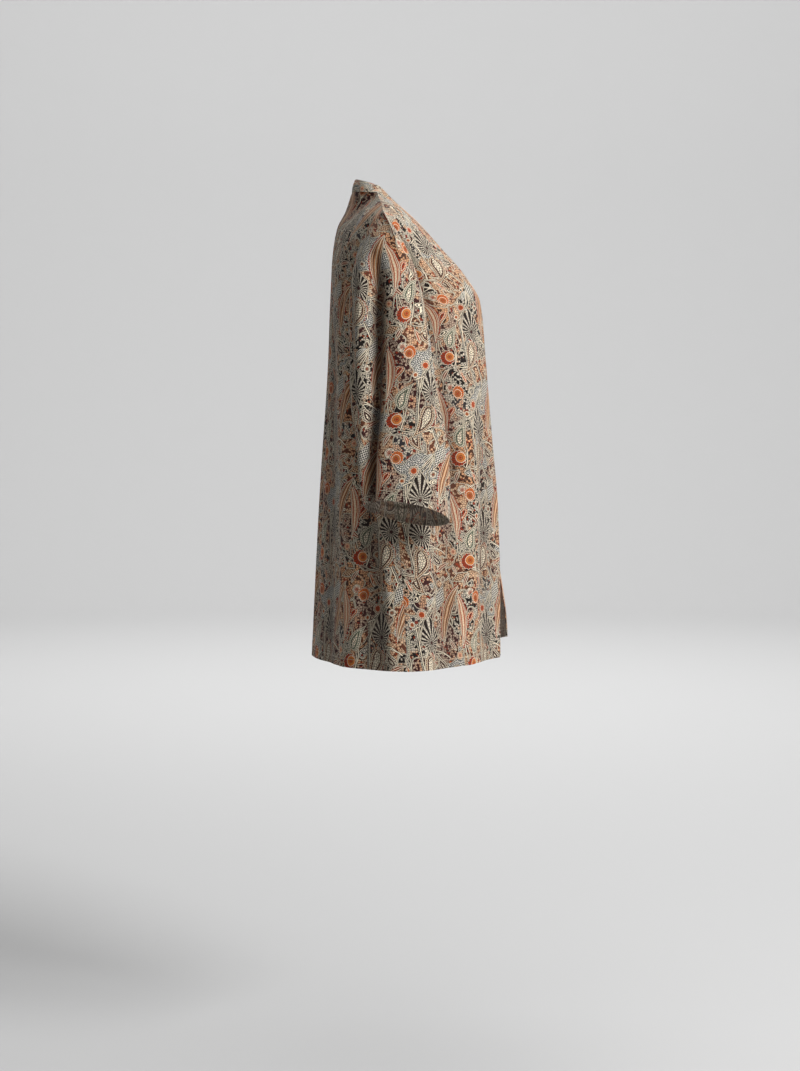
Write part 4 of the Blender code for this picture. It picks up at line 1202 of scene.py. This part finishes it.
def motifs(tree, x, y, drawn, body):
    """The motifs over what is drawn so far. body is where the ground's pebbles are."""
    centre_x, centre_y, turn = parts(tree, attribute(tree, "motif_centre"))
    half_long, half_wide, kind = parts(tree, attribute(tree, "motif_form"))
    bend, blunt, sharp = parts(tree, attribute(tree, "motif_shape"))
    outer, middle, inner = (attribute(tree, "motif_" + part) for part in ("outer", "middle", "inner"))
    x_off, y_off = x - centre_x, y - centre_y
    cosine, sine = turn.cosine(), turn.sine()
    long = x_off * cosine + y_off * sine
    side = y_off * cosine - x_off * sine
    share = long / half_long.most(0.01)

    # Blades and drops share an outline
    bowed = side - bend * (1.0 - share * share)
    clamped = share.least(0.9999).most(-0.9999)
    outline = half_wide * (clamped + 1.0).power(blunt) * (1.0 - clamped).power(sharp)
    depth = outline - bowed.size() - (share.size() - 1.0).most(0.0) * half_long
    across = bowed.size() / outline.most(0.3)
    veins = ((long - bowed.size() * 1.6) * 2.1).sine().ease(0.1, 0.7)
    blade = mixed(tree, across.line(0.30, 0.52, 0.05) + across.line(0.70, 0.84, 0.04), outer, middle)
    blade = mixed(tree, veins * across.line(0.52, 0.70, 0.05) * 0.8, blade, inner)
    blade = mixed(tree, bowed.size().under(0.55), blade, inner)
    blade = mixed(tree, depth.line(1.1, 1.6, 0.12), blade, ink("brown"))
    blade = mixed(tree, depth.under(1.1), blade, inner)
    teeth = (long / 2.9).part().under(0.58) * (bowed * bend).over(0.0) * half_wide.over(4.5)
    is_blade = (kind - 1.0).size().under(0.5)

    dots = ((long * 2.0).sine() * 0.5 + 0.5).ease(0.45, 0.7)
    drop = mixed(tree, body, ink("black"), outer)
    drop = mixed(tree, depth.over(7.6) * body, drop, inner)
    drop = mixed(tree, depth.line(3.9, 4.7, 0.12), drop, inner)
    drop = mixed(tree, depth.line(1.7, 3.9, 0.12), drop, mixed(tree, dots, outer, middle))
    drop = mixed(tree, depth.line(1.1, 1.7, 0.12), drop, ink("black"))
    drop = mixed(tree, depth.under(1.1), drop, inner)

    # A flower's rings may lie off its middle, as a bud's do
    radius = hypotenuse(long, side)
    angle = side.math("ARCTAN2", long)
    lobe = (angle * blunt).cosine() * 0.5 + 0.5
    flower_depth = half_long * (1.0 - lobe * sharp) - radius
    ring_long = long + bend * half_long
    part = hypotenuse(ring_long, side) / half_long.most(0.01)
    petals = (angle * blunt).cosine().ease(-0.2, 0.4) * part.over(0.62)
    flower = mixed(tree, petals * 0.55, outer, ink("burgundy"))
    tips = (angle * (blunt * 2.0)).cosine().ease(-0.3, 0.5)
    heart = mixed(tree, tips * 0.75, middle, inner)
    flower = mixed(tree, part.line(0.56, 0.63, 0.02), flower, ink("cream"))
    flower = mixed(tree, part.under(0.56), flower, heart)
    flower = mixed(tree, part.line(0.22, 0.28, 0.02), flower, ink("burgundy"))
    flower = mixed(tree, part.under(0.16), flower, ink("rust"))
    flower = mixed(tree, flower_depth.line(-0.2, 0.8, 0.1), flower, ink("cream"))
    is_flower = (kind - 3.0).size().under(0.5)

    # Patches
    slope = 1.0 - share.size() - side.size() / half_wide.most(0.01)
    patch_depth = slope * half_wide * 0.9
    from_end = long + half_long * 0.2
    fan_angle = side.math("ARCTAN2", from_end)
    fan_far = hypotenuse(from_end, side)
    rays = (fan_angle * 19.0).cosine().ease(-0.1, 0.5) * fan_far.ease(2.6, 3.6) * body.ease(-0.4, 0.6)
    fan = mixed(tree, rays, outer, middle)
    fan = mixed(tree, fan_far.under(2.6), fan, inner)
    checks = ((long * 1.25).sine() * (side * 1.25).sine()).ease(-0.15, 0.15)
    check = mixed(tree, checks, outer, middle)
    patch = mixed(tree, blunt.over(1.5), fan, check)
    patch = mixed(tree, patch_depth.line(1.0, 1.8, 0.12), patch, ink("black"))
    patch = mixed(tree, patch_depth.under(1.0), patch, ink("cream"))
    is_patch = (kind - 4.0).size().under(0.5)

    depth = choose(tree, is_flower, depth, flower_depth)
    depth = choose(tree, is_patch, depth, patch_depth)
    colour = mixed(tree, is_blade, drop, blade)
    colour = mixed(tree, is_flower, colour, flower)
    colour = mixed(tree, is_patch, colour, patch)
    colour = mixed(tree, (1.0 - body) * 0.30, colour, ink("brown"))
    real = kind.over(0.5)
    halo = depth.over(-0.6) * real
    comb = depth.over(-3.2) * teeth * is_blade
    drawn = mixed(tree, halo, drawn, ink("black"))
    drawn = mixed(tree, comb, drawn, ink("rust"))
    return mixed(tree, depth.over(0.0) * real, drawn, colour)


def printed_material(name):
    """Woven cloth with the print on it, its stitching, painted shade in its folds and a fainter print on the
    wrong side.
    """
    material = bpy.data.materials.new(name)
    material.use_nodes = True
    tree = material.node_tree
    shader = tree.nodes["Principled BSDF"]
    metres_x, metres_y, _ = parts(tree, attribute(tree, "cloth"))
    x, y = metres_x * 1000.0, metres_y * 1000.0
    sway = noise(tree, joined(tree, x, y), 0.07, 2, colour=True)
    x_drawn, y_drawn = x + (sway[0] - 0.5) * HAND_SWAY, y + (sway[1] - 0.5) * HAND_SWAY
    place = joined(tree, x_drawn, y_drawn)
    drawn, body = ground(tree, place)
    drawn = straight_lines(tree, x_drawn, y_drawn, drawn)
    drawn = arcs(tree, x_drawn, y_drawn, drawn)
    drawn = motifs(tree, x_drawn, y_drawn, drawn, body)

    # Yarns, which catch the ink unevenly
    warp = noise(tree, joined(tree, x * 3.2, y * 0.30), 1.0, 1)
    weft = noise(tree, joined(tree, x * 0.30, y * 3.2), 1.0, 1)
    uneven = (warp + weft - 1.0) * 0.45 + 1.0
    shade = tree.nodes.new("ShaderNodeMix")
    shade.data_type = "RGBA"
    shade.blend_type = "MULTIPLY"
    shade.inputs[0].default_value = 1.0
    tree.links.new(drawn, shade.inputs[6])
    tree.links.new(joined(tree, uneven, uneven, uneven), shade.inputs[7])
    inside = parts(tree, attribute(tree, "inside"))[0]
    # The sewing attribute holds the stitches' place and, as its third number, the share of painted shade in
    # the folds
    off, run, painted_shade = parts(tree, attribute(tree, "sewing"))
    # Painted shade: the cloth's colour is darkened and browned where its folds lie deep, on the outer face
    # only
    with_painted_shade = mixed(tree, painted_shade * (1.0 - inside) * PAINTED_FOLD_SHADE, shade.outputs[2], PAINTED_SHADE_TONE)
    worn = mixed(tree, inside * WRONG_SIDE, with_painted_shade, WRONG_SIDE_TONE)

    # Stitches
    dash = (run * (1000 / STITCH)).part()
    thread = (off * 1000.0).line(-0.45, 0.45, 0.12) * dash.line(0.10, 0.80, 0.06)
    worn = mixed(tree, thread * 0.8, worn, ink("cream") * 0.72)
    tree.links.new(worn, shader.inputs["Base Color"])

    # Relief: the weave, and the stitches with the pucker round them
    turns = 2 * math.pi / YARN
    weave = (x * turns).sine() * (y * turns).sine() * 0.016 + (warp + weft) * 0.05
    pucker = noise(tree, joined(tree, run * 260.0, off * 60.0), 1.0, 2)
    near = (off * 1000.0).size()
    pull = (1.0 - near.ease(1.0, 9.0)) * (pucker - 0.5) * 0.55
    sewn = thread * 0.30 - (1.0 - near.ease(0.3, 1.6)) * 0.22
    slub = noise(tree, joined(tree, x, y), 0.06, 3) * 0.5
    bump = tree.nodes.new("ShaderNodeBump")
    bump.inputs["Distance"].default_value = 0.001
    bump.inputs["Strength"].default_value = 1.0
    tree.links.new((weave + pull + sewn + slub).socket, bump.inputs["Height"])
    tree.links.new(bump.outputs[0], shader.inputs["Normal"])
    rough = (warp + weft) * 0.10 + 0.70
    tree.links.new(rough.socket, shader.inputs["Roughness"])
    for socket, value in (("Specular IOR Level", 0.22), ("Sheen Weight", 0.06), ("Sheen Roughness", 0.45)):
        shader.inputs[socket].default_value = value
    return material


def dress(name, grid, moved, depths, thickness, cloth, sewing, material, edges, offset):
    """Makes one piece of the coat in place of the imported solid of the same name."""
    outer = pulled_in(grid, grid_normals([grid])[0], edges)
    inner = outer - depths * thickness
    cloth = cloth + np.array(offset) / 1000
    # Painted shade: how far each point's colour is darkened, from how deep its fold lies
    painted_shade = np.clip(-moved / FULL_SHADE_FOLD_DEPTH, 0, 1)
    sewing = np.concatenate([sewing, painted_shade[..., None]], axis=-1)
    piece, middles = shell(name + "_cloth", outer, inner, cloth, sewing, material, name.startswith("sleeve"))
    print_motifs(piece.data, middles * 1000)
    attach(piece, "root")
    nodes = ("neck_band_right", "neck_band_left") if name == "neck_band" else (name,)
    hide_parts(*nodes)


def coat():
    drops = body_drops()
    back, back_moved = back_grid(drops)
    left_front, left_moved = front_grid(drops, FRONT_CREASES)
    right_front, right_moved = front_grid(drops, shifted(FRONT_CREASES))
    across = np.linspace(0, 1, FRONT_COLUMNS + 1)[None, :]
    left_front = kicked(left_front, across, drops[:, None])[:, ::-1]
    right_front = mirrored(right_front[:, ::-1])
    opening = armhole(ARMHOLE_ROWS)
    marks = armhole_shares(opening)
    round_sleeve = sleeve_columns(marks)
    sleeve_grid, along = sleeve(round_sleeve, SLEEVE_ROWS, opening, marks)
    down = armhole_drops(ARMHOLE_ROWS)
    round_drops = np.interp(round_sleeve, marks, np.concatenate([down, down[::-1][1:]]))
    hollow = armhole_hollow(round_drops, along[:, None] * SLEEVE_SPAN) * (round_sleeve > 0.5)
    moved_left = sleeve_moved(round_sleeve, along, shifted(SLEEVE_CREASES)) + hollow
    moved_right = sleeve_moved(round_sleeve, along, SLEEVE_CREASES) + hollow
    left_sleeve, right_sleeve = sleeve_grid[:, ::-1], mirrored(sleeve_grid[:, ::-1])
    band = band_grid(drops)
    roll = BAND_ROLL * np.sin(np.pi * BAND_COLUMNS)[None, :] * np.ones((len(band), 1))

    grids = [back, left_front, right_front, left_sleeve, right_sleeve, band]
    moved = [back_moved, left_moved[:, ::-1], right_moved, moved_left[:, ::-1], moved_right, roll]
    normals = grid_normals(grids)
    grids = [g + n * m[..., None] for g, n, m in zip(grids, normals, moved)]
    depths = mitred(grid_normals(grids), grids)
    depths[3][0] = between_seam_points(depths[3][0][::-1], round_sleeve, marks)[::-1]
    depths[4][0] = between_seam_points(depths[4][0], round_sleeve, marks)
    band = grids[5]

    printed, banded = printed_material("printed_cloth"), printed_material("band_cloth")
    starts = (back.shape[1] // 2, left_front.shape[1] - 1, 0)
    for k, name in enumerate(("back", "front_left", "front_right")):
        places = body_cloth(grids[k], starts[k], drops)
        sewing = np.stack([places[..., 1] - HEM_DEPTH, places[..., 0]], axis=-1)
        dress(name, grids[k], moved[k], depths[k], CLOTH, places, sewing, printed,
              ["top", "first", "last"], OFFSETS[name])
    for k, name in ((3, "sleeve_left"), (4, "sleeve_right")):
        grid, fold, depth = grids[k], moved[k], depths[k]
        shares = round_sleeve[::-1] if name == "sleeve_left" else round_sleeve
        start = int(np.argmin(np.abs(shares - 0.5)))
        order = np.concatenate([np.arange(start, len(shares) - 1), np.arange(0, start + 1)])
        grid, fold, depth, shares = grid[:, order], fold[:, order], depth[:, order], shares[order]
        ridge = int(np.argmin(np.minimum(shares, 1 - shares)))
        places = sleeve_cloth(grid, ridge)
        up_from_cuff = distances(grid, 0)
        up_from_cuff = up_from_cuff[-1] - up_from_cuff
        sewing = np.stack([up_from_cuff - CUFF_DEPTH, places[..., 0]], axis=-1)
        dress(name, grid, fold, depth, CLOTH, places, sewing, printed,
              ["top"], OFFSETS[name])

    run = np.broadcast_to(distances(band, 0)[:, :1], band.shape[:2])
    over = distances(band, 1)
    places = np.stack([over, run], axis=-1)
    nearer = np.minimum(over - BAND_STITCH, over[:, -1:] - BAND_TOP_STITCH - over)
    sewing = np.stack([nearer, run], axis=-1)
    dress("neck_band", band, moved[5], rounded_edge(depths[5]), BAND_CLOTH, places, sewing, banded,
          ["first"], OFFSETS["neck_band"])


def rounded_edge(depths):
    """The band's depths, less near its free edge, which is a soft fold."""
    past = np.clip((BAND_COLUMNS - 0.86) / 0.14, 0, 1)
    return depths * np.sqrt(1 - 0.85 * past**2)[None, :, None]


# Where each piece was cut from the cloth: millimetres to the right and up from the print's corner
OFFSETS = {
    "back": (30, 10),
    "front_right": (60, 20),
    "front_left": (95, 60),
    "sleeve_right": (80, 40),
    "sleeve_left": (10, 120),
    "neck_band": (52, 0),
}


# Studio and camera
FLOOR = -1.50
FLOOR_RADIUS = 7.5
WALL_BEND = 2.5
WALL_HEIGHT = 7.0
STUDIO_GREY = 0.62
IMAGE_HEIGHT = 1071
SENSOR = 36
FOCAL_PIXELS = 2248
CAMERA_PLACE = (-4.0, -0.037, -0.35)
CAMERA_DOWN = 3.70


def studio():
    """A round pale studio: a floor that curves up into a wall all round."""
    profile = [(FLOOR_RADIUS * k / 23, FLOOR) for k in range(24)]
    for k in range(1, 17):
        turn = math.pi / 2 * k / 16
        rise = WALL_BEND * (1 - math.cos(turn))
        profile.append((FLOOR_RADIUS + WALL_BEND * math.sin(turn), FLOOR + rise))
    profile.append((FLOOR_RADIUS + WALL_BEND, FLOOR + WALL_HEIGHT))
    sides = 96
    vertices = []
    for radius, height in profile[1:]:
        for k in range(sides):
            turn = 2 * math.pi * k / sides
            vertices.append((radius * math.cos(turn), radius * math.sin(turn), height))
    vertices.append((0, 0, FLOOR))
    faces = []
    for i in range(len(profile) - 2):
        for k in range(sides):
            a, b = i * sides + k, i * sides + (k + 1) % sides
            faces.append((a, a + sides, b + sides, b))
    faces.extend((len(vertices) - 1, k, (k + 1) % sides) for k in range(sides))
    mesh = bpy.data.meshes.new("studio")
    mesh.from_pydata(vertices, [], faces)
    mesh.shade_smooth()
    material = bpy.data.materials.new("studio_paper")
    material.use_nodes = True
    shader = material.node_tree.nodes["Principled BSDF"]
    shader.inputs["Base Color"].default_value = (STUDIO_GREY, STUDIO_GREY, STUDIO_GREY, 1)
    shader.inputs["Roughness"].default_value = 0.9
    shader.inputs["Specular IOR Level"].default_value = 0.1
    mesh.materials.append(material)
    paper = bpy.data.objects.new("studio", mesh)
    bpy.context.scene.collection.objects.link(paper)


def area_light(name, place, aim, size, power):
    light = bpy.data.lights.new(name, "AREA")
    light.shape = "RECTANGLE"
    light.size, light.size_y = size
    light.energy = power
    lamp = bpy.data.objects.new(name, light)
    lamp.location = place
    away = Vector(aim) - Vector(place)
    lamp.rotation_euler = away.to_track_quat("-Z", "Y").to_euler()
    bpy.context.scene.collection.objects.link(lamp)


def lights():
    area_light("key", (-2.2, -3.1, 2.1), (0, 0, -0.4), (2.2, 2.2), 232)
    area_light("top", (-0.5, -0.5, 2.6), (0, 0, -0.4), (3.0, 3.0), 26)
    area_light("wall", (4.0, 0.0, 4.5), (10.0, -1.0, 0.4), (6.0, 2.0), 315)
    area_light("floor", (3.5, 0.0, 3.5), (3.5, 0.0, -1.5), (5.0, 4.0), 145)
    world = bpy.data.worlds.new("studio_air")
    world.use_nodes = True
    world.node_tree.nodes["Background"].inputs[0].default_value = (1, 1, 1, 1)
    world.node_tree.nodes["Background"].inputs[1].default_value = 0.025
    bpy.context.scene.world = world
    bpy.context.scene.view_settings.view_transform = "Standard"


def camera():
    """The photograph's view: from the wearer's right, a little above the middle of the coat."""
    data = bpy.data.cameras.new("camera")
    data.sensor_width = SENSOR
    data.lens = FOCAL_PIXELS * SENSOR / IMAGE_HEIGHT
    view = bpy.data.objects.new("camera", data)
    view.location = CAMERA_PLACE
    view.rotation_euler = (math.radians(90 - CAMERA_DOWN), 0, math.radians(-90))
    bpy.context.scene.collection.objects.link(view)
    bpy.context.scene.camera = view


coat()
studio()
lights()
camera()
